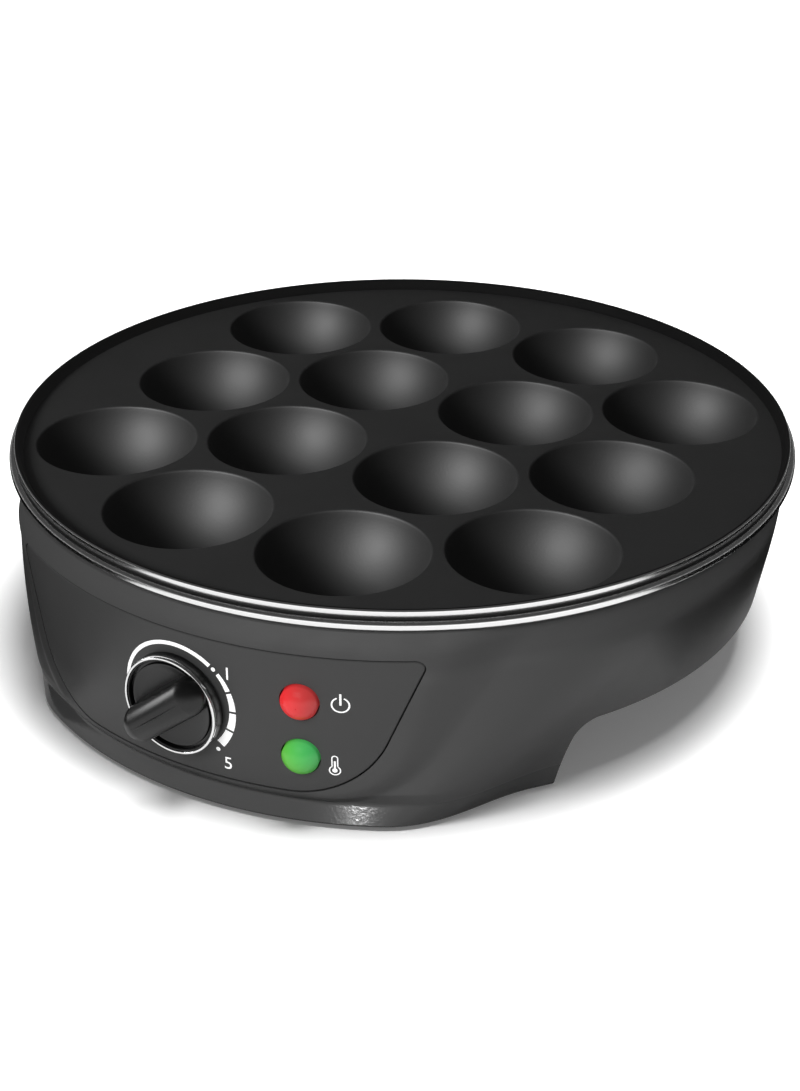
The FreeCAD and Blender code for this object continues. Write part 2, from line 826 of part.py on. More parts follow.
def make_lens(z):
    axis = outward(lamp_angle)
    seat = lens_seat()
    face = pad_radius + lens_proud
    flange = rod(lens_flange_radius, lens_flange, polar(seat - lens_flange, lamp_angle, z), axis)
    barrel = rod(lens_radius, face - seat + 0.5, polar(seat - 0.5, lamp_angle, z), axis)
    ball_radius = (lens_radius ** 2 + lens_dome ** 2) / (2 * lens_dome)
    ball = Part.makeSphere(ball_radius, polar(face + lens_dome - ball_radius, lamp_angle, z))
    dome = ball.common(rod(lens_radius, lens_dome + 1, polar(face, lamp_angle, z), axis))
    bore = rod(lens_radius - lens_wall, face - seat + lens_flange - lens_wall + 1,
               polar(seat - lens_flange - 1, lamp_angle, z), axis)
    return fused([flange, barrel, dome]).cut(bore)


def make_lamp_holder(z):
    start = polar(lens_seat() - lens_flange - holder_length, lamp_angle, z)
    return tube(lens_radius, neon_radius + neon_gap, holder_length, start, outward(lamp_angle))


def make_neon(z):
    axis = outward(lamp_angle)
    start = lens_seat() - lens_flange - holder_length
    bulb = rod(neon_radius, neon_length - neon_radius, polar(start, lamp_angle, z), axis)
    tip = polar(start + neon_length - neon_radius, lamp_angle, z)
    return fused([bulb, Part.makeSphere(neon_radius, tip)])


# ---------------------------------------------------------------------------
# Heater, shield and mains connection
# ---------------------------------------------------------------------------

def make_element():
    """Tube of circular section swept along two legs, two bends and the ring between them."""
    turn = math.acos((element_leg_x + element_bend) / (element_radius + element_bend))
    centre_y = (element_radius + element_bend) * math.sin(turn)
    joint = V(element_radius * math.cos(turn), element_radius * math.sin(turn), element_z)
    middle = math.pi + turn / 2
    bend_centre = V(element_leg_x + element_bend, centre_y, element_z)
    bend_mid = bend_centre + V(math.cos(middle), math.sin(middle), 0) * element_bend

    def mirrored(point):
        return V(-point.x, point.y, point.z)

    leg_end = V(element_leg_x, element_leg_end, element_z)
    leg_start = V(element_leg_x, centre_y, element_z)
    far = V(0, -element_radius, element_z)
    path = Part.Wire([
        Part.LineSegment(leg_end, leg_start).toShape(),
        Part.Arc(leg_start, bend_mid, joint).toShape(),
        Part.Arc(joint, far, mirrored(joint)).toShape(),
        Part.Arc(mirrored(joint), mirrored(bend_mid), mirrored(leg_start)).toShape(),
        Part.LineSegment(mirrored(leg_start), mirrored(leg_end)).toShape()])
    section = Part.Wire([Part.makeCircle(element_tube, leg_end, REAR)])
    return path.makePipeShell([section], True, False)


def leg_ends():
    """Ends of the two heater legs."""
    return [V(side * element_leg_x, element_leg_end, element_z) for side in (-1, 1)]


def torus_piece(radius, span):
    """Piece of a ring of circular section round the axis, centred on +X."""
    face = Part.Face(Part.Wire([Part.makeCircle(radius, V(element_radius, 0, element_z), REAR)]))
    piece = face.revolve(V(0, 0, 0), UP, span)
    piece.rotate(V(0, 0, 0), UP, -span / 2)
    return piece


def clamp_form(x, y):
    """Clamp with an ear under its boss and a half-round channel under the element."""
    span = math.degrees(clamp_width / element_radius)
    inner = element_tube + screw_gap
    outer = inner + clamp_sheet
    channel = torus_piece(outer, span).cut(torus_piece(inner, span * 1.5))
    above = block(0, 2 * element_radius, -clamp_width, clamp_width, clamp_seat, plate_surface)
    boss_reach = math.hypot(x, y)
    ear = block(boss_reach - clamp_boss_radius, element_radius - inner - clamp_sheet / 3, -clamp_width / 2,
                clamp_width / 2, element_z - clamp_sheet / 2, element_z + clamp_sheet / 2)
    ear = ear.cut(torus_piece(inner, 4 * span))
    clamp = fused([channel.cut(above), ear])
    clamp = clamp.cut(rod(small_screw_radius + screw_gap, 4 * clamp_sheet,
                          V(boss_reach, 0, element_z - 2 * clamp_sheet)))
    clamp.rotate(V(0, 0, 0), UP, math.degrees(math.atan2(y, x)))
    return clamp


def make_shield():
    low = shield_top - shield_sheet
    pan = rod(shield_radius, shield_rim + shield_sheet, V(0, 0, shield_top - shield_rim - shield_sheet))
    pan = pan.cut(rod(shield_radius - shield_sheet, shield_rim, V(0, 0, low - shield_rim)))
    pan = pan.cut(block(-trim_radius, trim_radius, -trim_radius, -shield_front_cut, 0, plate_surface))
    hole = small_screw_radius + 2 * screw_gap
    return pan.cut([rod(hole, 2 * shield_sheet, V(x, y, low - 0.2)) for x, y in post_places()])


def make_fuse_clip():
    z = shield_top + fuse_radius + screw_gap
    inner = fuse_radius + screw_gap
    half = fuse_clip_width / 2
    start = V(-half, fuse_y, z)
    along = V(1, 0, 0)
    hoop = tube(inner + fuse_clip_sheet, inner, fuse_clip_width, start, along)
    hoop = hoop.cut(block(-half - 1, half + 1, fuse_y - 2 * inner, fuse_y + 2 * inner, 0, z))
    sides = []
    for side in (-1, 1):
        wall_y = fuse_y + side * (inner + fuse_clip_sheet / 2)
        sides.append(block(-half, half, wall_y - fuse_clip_sheet / 2, wall_y + fuse_clip_sheet / 2,
                           shield_top, z))
        ear_y = fuse_y + side * (inner + fuse_clip_width / 2)
        sides.append(block(-half, half, ear_y - fuse_clip_width / 2, ear_y + fuse_clip_width / 2,
                           shield_top, shield_top + fuse_clip_sheet))
    return fused([hoop] + sides)


def make_inlet():
    seat = inlet_seat_y()
    flange = rod(inlet_flange_radius, inlet_flange, V(0, seat, inlet_z), REAR)
    flange = flange.makeFillet(inlet_flange * 0.5, [
        rim_edge(flange, V(0, seat + inlet_flange, inlet_z), inlet_flange_radius)])
    barrel = rod(inlet_barrel_radius, inlet_length - inlet_flange + 0.5, V(0, seat + 0.5, inlet_z), FRONT)
    lip_radius = inlet_barrel_radius + inlet_lip
    inner = round_radius(inlet_z - lip_radius) - wall
    lip_y = math.sqrt(inner ** 2 - lip_radius ** 2) - inlet_gap
    lip = rod(lip_radius, inlet_lip_width, V(0, lip_y, inlet_z), FRONT)
    bore = rod(inlet_bore, inlet_length + 2, V(0, seat + inlet_flange + 1, inlet_z), FRONT)
    return fused([flange, barrel, lip]).cut(bore)


def pole_places():
    """Start of each pole of the terminal block."""
    pitch = block_width / block_poles
    z = deck_top + block_height / 2
    return [V((i - (block_poles - 1) / 2) * pitch, block_y, z) for i in range(block_poles)]


def make_terminal_block():
    body = block(-block_width / 2, block_width / 2, block_y, block_y + block_depth, deck_top,
                 deck_top + block_height)
    return body.cut([rod(pole_radius + screw_gap, block_depth, p, REAR) for p in pole_places()])


def make_block_poles():
    wire_bore = pole_radius / 2
    return group([tube(pole_radius, wire_bore, block_depth, p, REAR) for p in pole_places()])


# ---------------------------------------------------------------------------
# Screws
# ---------------------------------------------------------------------------

def small_screw(seat, axis, through):
    """Small screw that passes through a sheet and bites into what carries it."""
    return screw(seat, axis, through + small_bite, small_screw_radius, small_head_radius, small_head_height)


def make_plate_screws():
    length = post_foot - cover_low + screw_bite
    return group([screw(V(x, y, cover_low), UP, length, screw_radius, screw_head_radius, screw_head_height)
                  for x, y in corners(fixing_x, fixing_y)])


def make_cover_screws():
    return group([screw(p, UP, cover_sheet + screw_bite, screw_radius, screw_head_radius, screw_head_height)
                  for p in cover_screw_places()])


def make_clamp_screws():
    return group([small_screw(V(x, y, clamp_seat - clamp_sheet), UP, clamp_sheet) for x, y in gap_places()])


def make_shield_screws():
    low = shield_top - shield_sheet
    return group([small_screw(V(x, y, low), UP, shield_sheet) for x, y in post_places()])


def make_bracket_screws():
    seat_y = bracket_y + bracket_sheet
    bite = bracket_setback - 3 * wall / 2
    return group([screw(V(side * bracket_screw_x, seat_y, dial_z), FRONT, bracket_sheet + bite,
                        small_screw_radius, small_head_radius, small_head_height) for side in (-1, 1)])


# ---------------------------------------------------------------------------
# Assembly
# ---------------------------------------------------------------------------

def build():
    """All nodes by name."""
    nodes = {
        "cooking_plate": make_plate(),
        "rim_seal": make_seal(),
        "trim_ring": make_trim_ring(),
        "housing": make_housing(),
        "control_panel": make_control_panel(),
        "base_cover": make_base_cover(),
        "knob": make_knob(),
        "knob_ring": make_knob_ring(),
        "knob_clip": make_knob_clip(),
        "thermostat_shaft": make_shaft(),
        "thermostat_body": make_thermostat_body(),
        "thermostat_bracket": make_bracket(),
        "thermostat_nut": make_nut(),
        "sensor_strip": make_sensor_strip(),
        "bracket_screws": make_bracket_screws(),
        "heating_element": make_element(),
        "heater_collars": group([tube(collar_radius, pin_radius + screw_gap, collar_length, end, REAR)
                                 for end in leg_ends()]),
        "heater_pins": group([rod(pin_radius, collar_length + pin_length, end, REAR) for end in leg_ends()]),
        "heater_clamps": group([clamp_form(x, y) for x, y in gap_places()]),
        "clamp_screws": make_clamp_screws(),
        "heat_shield": make_shield(),
        "shield_screws": make_shield_screws(),
        "thermal_fuse": rod(fuse_radius, fuse_length, V(-fuse_length / 2, fuse_y, shield_top + fuse_radius +
                                                        screw_gap), V(1, 0, 0)),
        "fuse_clip": make_fuse_clip(),
        "plate_screws": make_plate_screws(),
        "cover_screws": make_cover_screws(),
        "mains_inlet": make_inlet(),
        "terminal_block": make_terminal_block(),
        "block_poles": make_block_poles(),
    }
    for name, z in lamp_heights().items():
        nodes[name + "_lamp_lens"] = make_lens(z)
        nodes[name + "_lamp_holder"] = make_lamp_holder(z)
        nodes[name + "_neon"] = make_neon(z)
    for name, place in foot_places().items():
        nodes[name + "_foot"] = foot_pad(place)
    return nodes


def main():
    os.makedirs("parts", exist_ok=True)
    for name, shape in build().items():
        shape.translate(V(0, frame_shift, 0))
        if not shape.isValid():
            raise ValueError(name + " is not valid")
        print(name, len(shape.Solids), round(shape.Volume))
        shape.exportStep("parts/" + name + ".step")


main()
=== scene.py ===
"""Looks for the takoyaki maker: an add-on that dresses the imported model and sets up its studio."""

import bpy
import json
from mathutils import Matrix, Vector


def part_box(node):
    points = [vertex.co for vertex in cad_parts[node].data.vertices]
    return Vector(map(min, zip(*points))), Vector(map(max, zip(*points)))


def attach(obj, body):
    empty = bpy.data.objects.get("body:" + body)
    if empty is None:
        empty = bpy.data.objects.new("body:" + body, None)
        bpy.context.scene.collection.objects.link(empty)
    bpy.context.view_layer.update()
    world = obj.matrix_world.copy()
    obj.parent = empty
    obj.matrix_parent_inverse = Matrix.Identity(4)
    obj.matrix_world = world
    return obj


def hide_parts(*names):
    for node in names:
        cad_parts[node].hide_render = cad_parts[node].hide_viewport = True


bl_info = {
    "name": "Takoyaki Maker",
    "version": (1, 0, 0),
    "blender": (4, 5, 0),
    "location": "3D View > Sidebar > Cooker",
    "description": "Builds the plate, rim, housing, panel, dial, lamps and studio of a takoyaki maker",
    "category": "Object",
}

import json
import math
from functools import partial

import bmesh
import bpy
import numpy as np
from bpy.props import FloatProperty, FloatVectorProperty, IntProperty, PointerProperty
from mathutils import Matrix, Vector

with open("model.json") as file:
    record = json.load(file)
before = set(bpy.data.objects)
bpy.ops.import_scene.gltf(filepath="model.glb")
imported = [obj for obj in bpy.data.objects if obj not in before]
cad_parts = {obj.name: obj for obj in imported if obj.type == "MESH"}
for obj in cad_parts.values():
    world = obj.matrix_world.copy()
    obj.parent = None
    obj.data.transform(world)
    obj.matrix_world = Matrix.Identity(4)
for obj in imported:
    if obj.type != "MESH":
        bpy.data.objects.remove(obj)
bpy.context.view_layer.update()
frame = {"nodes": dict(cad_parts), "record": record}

RIM_LOW, RIM_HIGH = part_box("trim_ring")
PLATE_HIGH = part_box("cooking_plate")[1].z
AXIS_Y = (RIM_LOW.y + RIM_HIGH.y) / 2
DIAL_LOW, DIAL_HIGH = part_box("knob_clip")
DIAL_Z = (DIAL_LOW.z + DIAL_HIGH.z) / 2

# Drops of the two lamps under the cooking surface.
LAMP_DROPS = (0.0219, 0.0376)

# Half width, drop under the cooking surface and corner radius of the panel and the pad, at top and foot.
# The pad's outline runs on above the rim, where its rows of radii shape its top.
PANEL_TOP = (0.0606, 0.009, 0.002)
PANEL_FOOT = (0.046, 0.0482, 0.0245)
PAD_TOP = (0.0795, 0.0024, 0.002)
PAD_FOOT = (0.0545, 0.052, 0.030)
PAD_RUN_ON = 0.03


# --- Settings ---

def length(description, default):
    """A size in metres."""
    return FloatProperty(description=description, default=default, unit="LENGTH", precision=5)


def angle(description, default):
    """An angle, given here in degrees."""
    return FloatProperty(description=description, default=math.radians(default), unit="ROTATION")


def power(description, default):
    """The power of a light in watts."""
    return FloatProperty(description=description, default=default, unit="POWER")


def colour(description, *levels):
    """A colour written as three sRGB values of 0 to 255, or a grey written as one."""
    linear = [((c / 255 + 0.055) / 1.055) ** 2.4 if c > 10 else c / 255 / 12.92 for c in levels]
    linear *= 3 // len(levels)
    return FloatVectorProperty(description=description, default=linear, subtype="COLOR", min=0, max=1)


class PlateSettings(bpy.types.PropertyGroup):
    lip: length("Height of the lip over the cooking surface", 0.003)
    floor: length("Radius of the flat cooking surface", 0.1062)
    thickness: length("Thickness of the cast disc", 0.003)
    mouth: length("Radius of a hollow at the cooking surface", 0.0221)
    depth: length("Depth of a hollow", 0.019)
    wall: length("Wall under a hollow", 0.0018)
    edge: length("Rounding of a hollow's mouth", 0.0007)
    pitch: length("Distance between neighbours in a column", 0.0479)
    inner_column: length("Distance of the columns of four from the middle", 0.02365)
    outer_column: length("Distance of the columns of three from the middle", 0.0647)
    bowl_steps: IntProperty(description="Points round a hollow", default=96, min=16)
    rim_steps: IntProperty(description="Points round the rim", default=384, min=64)


class HousingSettings(bpy.types.PropertyGroup):
    wall: length("Wall of the moulded housing", 0.0025)
    shoulder: length("Radius under the rim", 0.10748)
    neck: length("Radius of the neck under the trim", 0.106)
    foot: length("Radius of the round body at the foot", 0.10128)
    nose: length("Radius of the nose at the foot", 0.11168)
    nose_top: angle("Half width of the nose at the shoulder", 54)
    nose_foot: angle("Half width of the nose at the foot", 27)
    nose_fade: angle("Width of the fade from nose to round body", 22)
    arch_half: length("Half width of the arch in each side, at its top", 0.0585)
    arch_lean: length("How much further an arch's flank stands out at the foot", 0.0042)
    arch_top: length("Height of the arches", 0.0194)
    arch_round: length("Rounding of an arch's corners", 0.006)
    pad: length("Radius of the raised pad", 0.11198)
    pad_soft: length("Width over which the pad's lower edge fades", 0.0028)
    pad_fade: length("Width over which the pad's upper sides fade", 0.016)
    pad_lean: length("How far the pad draws in under the rim", 0.0019)
    band_flare: length("How far the band under the pad flares", 0.0005)
    waist: length("How far the band draws in just under the pad", 0.001)
    groove: length("Gap round the flush panel", 0.0003)


class DialSettings(bpy.types.PropertyGroup):
    radius: length("Radius of the dial", 0.0134)
    thickness: length("Thickness of the dial's disc", 0.0032)
    grip_width: length("Width of the grip", 0.0096)
    grip_length: length("Length of the grip", 0.0264)
    grip_height: length("How far the grip stands out", 0.0073)
    turn: angle("Turn of the dial from upright, clockwise", 51)
    scale_radius: length("Outer radius of the printed scale", 0.0163)
    blocks: IntProperty(description="Blocks of the printed scale", default=4, min=1)


class LampSettings(bpy.types.PropertyGroup):
    side: angle("Angle of the lamps from the front", 16.8)
    radius: length("Radius of a lamp", 0.0047)
    dome: length("Height of a lamp's dome", 0.0028)
    seat_gap: length("Dark gap round a lamp", 0.00035)


class FinishSettings(bpy.types.PropertyGroup):
    housing: colour("Moulded housing", 56)
    panel: colour("Control panel", 60)
    coat: colour("Non-stick coat of the plate", 13)
    trim: colour("Bright trim", 243)
    dial: colour("Glossy black of the dial", 7)
    black: colour("Black mouldings", 14)
    rubber: colour("Feet and seal", 24)
    # Each lamp's second colour is painted shade, blended in towards the lamp's upper right.
    power: colour("Red lamp", 226, 40, 45)
    power_painted_shade: colour("Red lamp at its upper right", 168, 52, 52)
    ready: colour("Green lamp", 88, 176, 52)
    ready_painted_shade: colour("Green lamp at its upper right", 62, 160, 84)
    print_white: colour("Printed marks", 250)
    steel: colour("Plated steel", 190, 192, 195)


class StageSettings(bpy.types.PropertyGroup):
    lens: FloatProperty(description="Focal length for a 36 mm high film", default=63.755)
    eye: FloatVectorProperty(description="Place of the camera from the cooker's axis", subtype="XYZ",
                             unit="LENGTH", default=(0.24571, -0.43269, 0.29142))
    tilt: angle("Turn of the camera about its own X axis", 62.946)
    roll: angle("Turn of the camera about Y", -0.272)
    heading: angle("Turn of the camera about Z", 29.166)
    shift: FloatVectorProperty(description="Shift of the lens", size=2, default=(-0.0183, -0.05093))
    key: power("Soft front light", 10.8)
    glint: power("Light on the plate, seen in gloss", 32.0)
    over: power("Light over the floor", 23.0)
    rear: power("Soft light from behind", 7.0)
    gleam: power("Low light on the dial, seen in gloss", 4.0)
    streak: power("Strip light on the foot band, seen in gloss", 18.0)
    edge: power("Light on the shoulder, seen in gloss", 6.0)
    sky: FloatProperty(description="Strength of the sky on the object", default=0.14)
    overhead: FloatProperty(description="Strength of the high sky in gloss", default=0.06)


SETTINGS = {
    "cooker_plate": PlateSettings,
    "cooker_housing": HousingSettings,
    "cooker_dial": DialSettings,
    "cooker_lamps": LampSettings,
    "cooker_finish": FinishSettings,
    "cooker_stage": StageSettings,
}


def plate_top():
    """Height of the cooking surface."""
    return PLATE_HIGH - bpy.context.scene.cooker_plate.lip


# --- Outlines ---

def offset(origin, *points):
    """Points given from an origin."""
    return [(origin[0] + x, origin[1] + y) for x, y in points]


def arc(centre, radius, start, end, steps):
    """Points of an arc in degrees, as (first, second) coordinates."""
    turns = [math.radians(start + (end - start) * i / steps) for i in range(steps + 1)]
    return offset(centre, *[(radius * math.cos(t), radius * math.sin(t)) for t in turns])


def round_hole(centre, radius, steps):
    """Points of a whole circle, as (first, second) coordinates."""
    return arc(centre, radius, 0, 360, steps)[:-1]


def circle(radius, z, steps, centre=(0.0, 0.0)):
    """Points of a level circle."""
    return [(x, y, z) for x, y in round_hole(centre, radius, steps)]


def trapezoid(head, base, inset=0.0, run_on=0.0):
    """Rounded outline seen from the front, as (x, z) points, with the same count for every inset.

    head and base are (half width, drop, corner radius). The sides run on past the head by run_on."""
    half_foot, foot_drop, foot_round = base
    half_top, top_drop, top_round = head
    half_top += (half_top - half_foot) / (foot_drop - top_drop) * run_on
    foot = plate_top() - foot_drop
    top = plate_top() - top_drop + run_on
    slope = math.atan2(half_top - half_foot, top - foot)
    lean = 1 / math.cos(slope)

    def corner(height, radius, up, start, end, steps):
        level = height - up * inset
        half = half_foot + (half_top - half_foot) * (level - foot) / (top - foot) - inset * lean
        radius = max(radius - inset, 1e-4)
        reach = radius * math.tan((math.pi / 2 + up * slope) / 2)
        return arc((half - reach, level - up * radius), radius, start, end, steps)

    tilt = -math.degrees(slope)
    right = corner(foot, foot_round, -1, -90, tilt, 18) + corner(top, top_round, 1, tilt, 90, 10)
    return right + [(-x, z) for x, z in reversed(right)]


def edge_distance(points, outline):
    """Distance of (n, 2) points inside an outline, negative outside."""
    start = np.array(outline)
    end = np.roll(start, -1, axis=0)
    best = np.full(len(points), 1e9)
    inside = np.zeros(len(points), bool)
    for a, b, d in zip(start, end, end - start):
        size = max(float(d @ d), 1e-18)
        share = np.clip(((points - a) @ d) / size, 0, 1)
        gap = points - (a + share[:, None] * d)
        best = np.minimum(best, np.hypot(gap[:, 0], gap[:, 1]))
        crosses = (a[1] > points[:, 1]) != (b[1] > points[:, 1])
        if crosses.any() and abs(d[1]) > 1e-12:
            x = a[0] + (points[:, 1] - a[1]) * d[0] / d[1]
            inside ^= crosses & (points[:, 0] < x)
    return np.where(inside, best, -best)


def fade(share):
    """1 below 0, 0 above 1, and a smooth fall between."""
    return (1 + np.cos(np.pi * np.clip(share, 0, 1))) / 2


# --- Mesh helpers ---

def add_loops(bm, loops, close_loops=True, close_stack=False):
    """Skin a stack of equal loops of points with quads, and return the loops' vertices."""
    rows = [[bm.verts.new(p) for p in loop] for loop in loops]
    count = len(rows[0])
    pairs = list(zip(rows, rows[1:]))
    if close_stack:
        pairs.append((rows[-1], rows[0]))
    for low, high in pairs:
        for i in range(count if close_loops else count - 1):
            j = (i + 1) % count
            bm.faces.new((low[i], low[j], high[j], high[i]))
    return rows


def lathe(bm, profile, steps, closed=True):
    """Turn (radius, height) points about Z."""
    return add_loops(bm, [circle(r, z, steps) for r, z in profile], close_stack=closed)


def close_prism(bm, outline, near, far):
    """Prism of an (across, z) outline, capped at both ends, and its near cap. near and far place a point."""
    first, second = add_loops(bm, [[place(across, z) for across, z in outline] for place in (near, far)])
    bm.faces.new(list(reversed(second)))
    return bm.faces.new(first)


def slice_columns(bm, geometry, half, count=60):
    """Cut geometry into upright strips."""
    for i in range(1, count):
        x = -half + 2 * half * i / count
        cut = bmesh.ops.bisect_plane(bm, geom=geometry, plane_co=(x, 0, 0), plane_no=(1, 0, 0), dist=1e-7)
        geometry = cut["geom"]


def facing(side, radius, z):
    """Matrix that stands a shape built along +Z at an angle from the front, pointing outward."""
    place = Vector((radius * math.sin(side), -radius * math.cos(side), z))
    return Matrix.Translation(place) @ Matrix.Rotation(side, 4, "Z") @ Matrix.Rotation(math.pi / 2, 4, "X")


def make_mesh(name, bm, move=None):
    """Turn a bmesh, centred on the cooker's axis, into a mesh in the row frame."""
    mesh = bpy.data.meshes.new(name)
    bm.to_mesh(mesh)
    bm.free()
    if move is not None:
        mesh.transform(move)
    mesh.transform(Matrix.Translation((0, AXIS_Y, 0)))
    return mesh


def add_object(name, data):
    """Put data into the scene as an object."""
    thing = bpy.data.objects.new(name, data)
    bpy.context.scene.collection.objects.link(thing)
    return thing


def smooth(mesh, sharp=30.0):
    """Shade a mesh smooth, with sharp edges over an angle in degrees."""
    mesh.polygons.foreach_set("use_smooth", [True] * len(mesh.polygons))
    mesh.set_sharp_from_angle(angle=math.radians(sharp))


def evaluated_mesh(thing):
    """New mesh of an object with its modifiers applied."""
    bpy.context.view_layer.update()
    graph = bpy.context.evaluated_depsgraph_get()
    return bpy.data.meshes.new_from_object(thing.evaluated_get(graph), depsgraph=graph)


def cut_away(piece, cutter_bm):
    """Take the cutter's solids away from the piece."""
    bmesh.ops.recalc_face_normals(cutter_bm, faces=cutter_bm.faces)
    mesh = make_mesh("cutter", cutter_bm)
    cutter = add_object("cutter", mesh)
    cut = piece.modifiers.new("cut", "BOOLEAN")
    cut.operation = "DIFFERENCE"
    cut.solver = "EXACT"
    cut.object = cutter
    old = piece.data
    result = evaluated_mesh(piece)
    piece.modifiers.clear()
    piece.data = result
    smooth(result)
    bpy.data.objects.remove(cutter)
    bpy.data.meshes.remove(mesh)
    bpy.data.meshes.remove(old)


def stand(name, bm, look, sharp=30.0, move=None):
    """Make an object of a bmesh in one material."""
    bmesh.ops.remove_doubles(bm, verts=bm.verts, dist=2e-6)
    bmesh.ops.recalc_face_normals(bm, faces=bm.faces)
    mesh = make_mesh(name, bm, move)
    smooth(mesh, sharp)
    mesh.materials.append(look)
    return add_object(name, mesh)


def settle(piece, body, slot_name, *nodes):
    """Hand a finished piece to its body and hide the nodes that it stands for. Its slot name is not used."""
    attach(piece, body)
    if nodes:
        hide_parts(*nodes)


def add_piece(name, bm, slot_name, *nodes, body="cooker", sharp=30.0, move=None, cutter=None):
    """Make a piece in its slot's finish, cut it if a cutter is given, and hand it over."""
    piece = stand(name, bm, finishes()[slot_name], sharp, move)
    if cutter is not None:
        cut_away(piece, cutter)
    settle(piece, body, slot_name, *nodes)


def turn_piece(name, profile, steps, slot_name, *nodes, **how):
    """Make a piece by turning (radius, height) points about Z."""
    bm = bmesh.new()
    lathe(bm, profile, steps)
    add_piece(name, bm, slot_name, *nodes, **how)


# --- Materials ---

WHITE = (1, 1, 1, 1)


def fill(tree, node, given):
    """Set a node's inputs to values, or link them to other nodes' outputs."""
    for key, value in given.items():
        if isinstance(value, bpy.types.NodeSocket):
            tree.links.new(value, node.inputs[key])
        else:
            node.inputs[key].default_value = value


def add_node(tree, kind, given=None, out=0, family="Shader", **settings):
    """Add a node of a family with its settings and inputs, and return one of its outputs."""
    node = tree.nodes.new(family + "Node" + kind)
    for key, value in settings.items():
        setattr(node, key, value)
    fill(tree, node, given or {})
    return node.outputs[out]


def maths(tree, operation, *values):
    """Result of a maths node on one or two values."""
    return add_node(tree, "Math", dict(enumerate(values)), operation=operation)


def ramp(tree, value, start, end, low=0.0, high=1.0, kind="LINEAR"):
    """Map a value from start and end to low and high."""
    given = {"Value": value, "From Min": start, "From Max": end, "To Min": low, "To Max": high}
    return add_node(tree, "MapRange", given, interpolation_type=kind)


def mix(tree, share, first, second, kind="FLOAT"):
    """Blend two values, or two colours with kind RGBA."""
    return add_node(tree, "Mix", {"Factor": share, "A": first, "B": second}, "Result", data_type=kind)


def new_material(name):
    """New material, its node tree and its shader."""
    made = bpy.data.materials.new(name)
    made.use_nodes = True
    return made, made.node_tree, made.node_tree.nodes["Principled BSDF"]


def material(name, base, roughness=0.5, metallic=0.0, grain=0.0, grain_size=0.0008, mottle=0.06,
             mottle_size=0.012, spread=0.06, wear=None, shade=None, **sockets):
    """Finish with a fine bump, a soft change of colour and a change of roughness over the surface.

    wear gives a factor on the roughness, and shade a glowing colour, with painted shade in it, that takes
    the place of the base."""
    if name in bpy.data.materials:
        return bpy.data.materials[name]
    made, tree, shader = new_material(name)
    place = add_node(tree, "TexCoord", out="Object")
    cloud = add_node(tree, "TexNoise", {"Vector": place, "Scale": 1 / mottle_size, "Detail": 3}, "Fac")
    low, high = [(*[min(c * (1 + change), 1) for c in base], 1) for change in (-mottle, mottle)]
    tint = mix(tree, cloud, low, high, "RGBA")
    # Where shade is given, the mottled base gives way to a colour that carries painted shade, and the
    # surface glows in it.
    if shade:
        tint = shade(tree, place)
        sockets["Emission_Color"] = tint
    rough = ramp(tree, cloud, 0, 1, max(roughness - spread, 0.02), roughness + spread)
    if wear:
        rough = maths(tree, "MULTIPLY", rough, wear(tree, place))
    fill(tree, shader, {"Metallic": metallic, "Base Color": tint, "Roughness": rough})
    fill(tree, shader, {key.replace("_", " "): value for key, value in sockets.items()})
    if grain:
        fine = add_node(tree, "TexNoise", {"Vector": place, "Scale": 1 / grain_size, "Detail": 2}, "Fac")
        bump = add_node(tree, "Bump", {"Strength": grain, "Distance": grain_size * 0.1, "Height": fine})
        fill(tree, shader, {"Normal": bump})
    return made


def housing_wear(tree, place):
    """Factor on the housing's roughness, polished on its foot band and duller on its shoulder."""
    height = add_node(tree, "SeparateXYZ", {0: place}, "Z")
    foot = ramp(tree, height, 0.0062, 0.0075, 0.32)
    shoulder = ramp(tree, height, 0.042, 0.047, 1.0, 1.9)
    return maths(tree, "MULTIPLY", foot, shoulder)


def lens_painted_shade(tone, side, lamp):
    """Painted shade of the first or second lamp: its colour is paler at its lower left and darker towards
    its upper right, and it glows in that blend.
    """
    lamp_x = bpy.context.scene.cooker_housing.pad * math.sin(bpy.context.scene.cooker_lamps.side)
    towards = (0.8, 0, 0.6)
    middle = towards[0] * lamp_x + towards[2] * (plate_top() - LAMP_DROPS[lamp])

    def shade(tree, place):
        # Painted shade: the lamp's colour turns from paler at its lower left to darker at its upper right.
        across = add_node(tree, "VectorMath", {0: place, 1: towards}, "Value", operation="DOT_PRODUCT")
        fall = ramp(tree, across, middle - 0.004, middle + 0.0055, kind="SMOOTHSTEP")
        return mix(tree, fall, (*tone, 1), (*side, 1), "RGBA")

    return shade


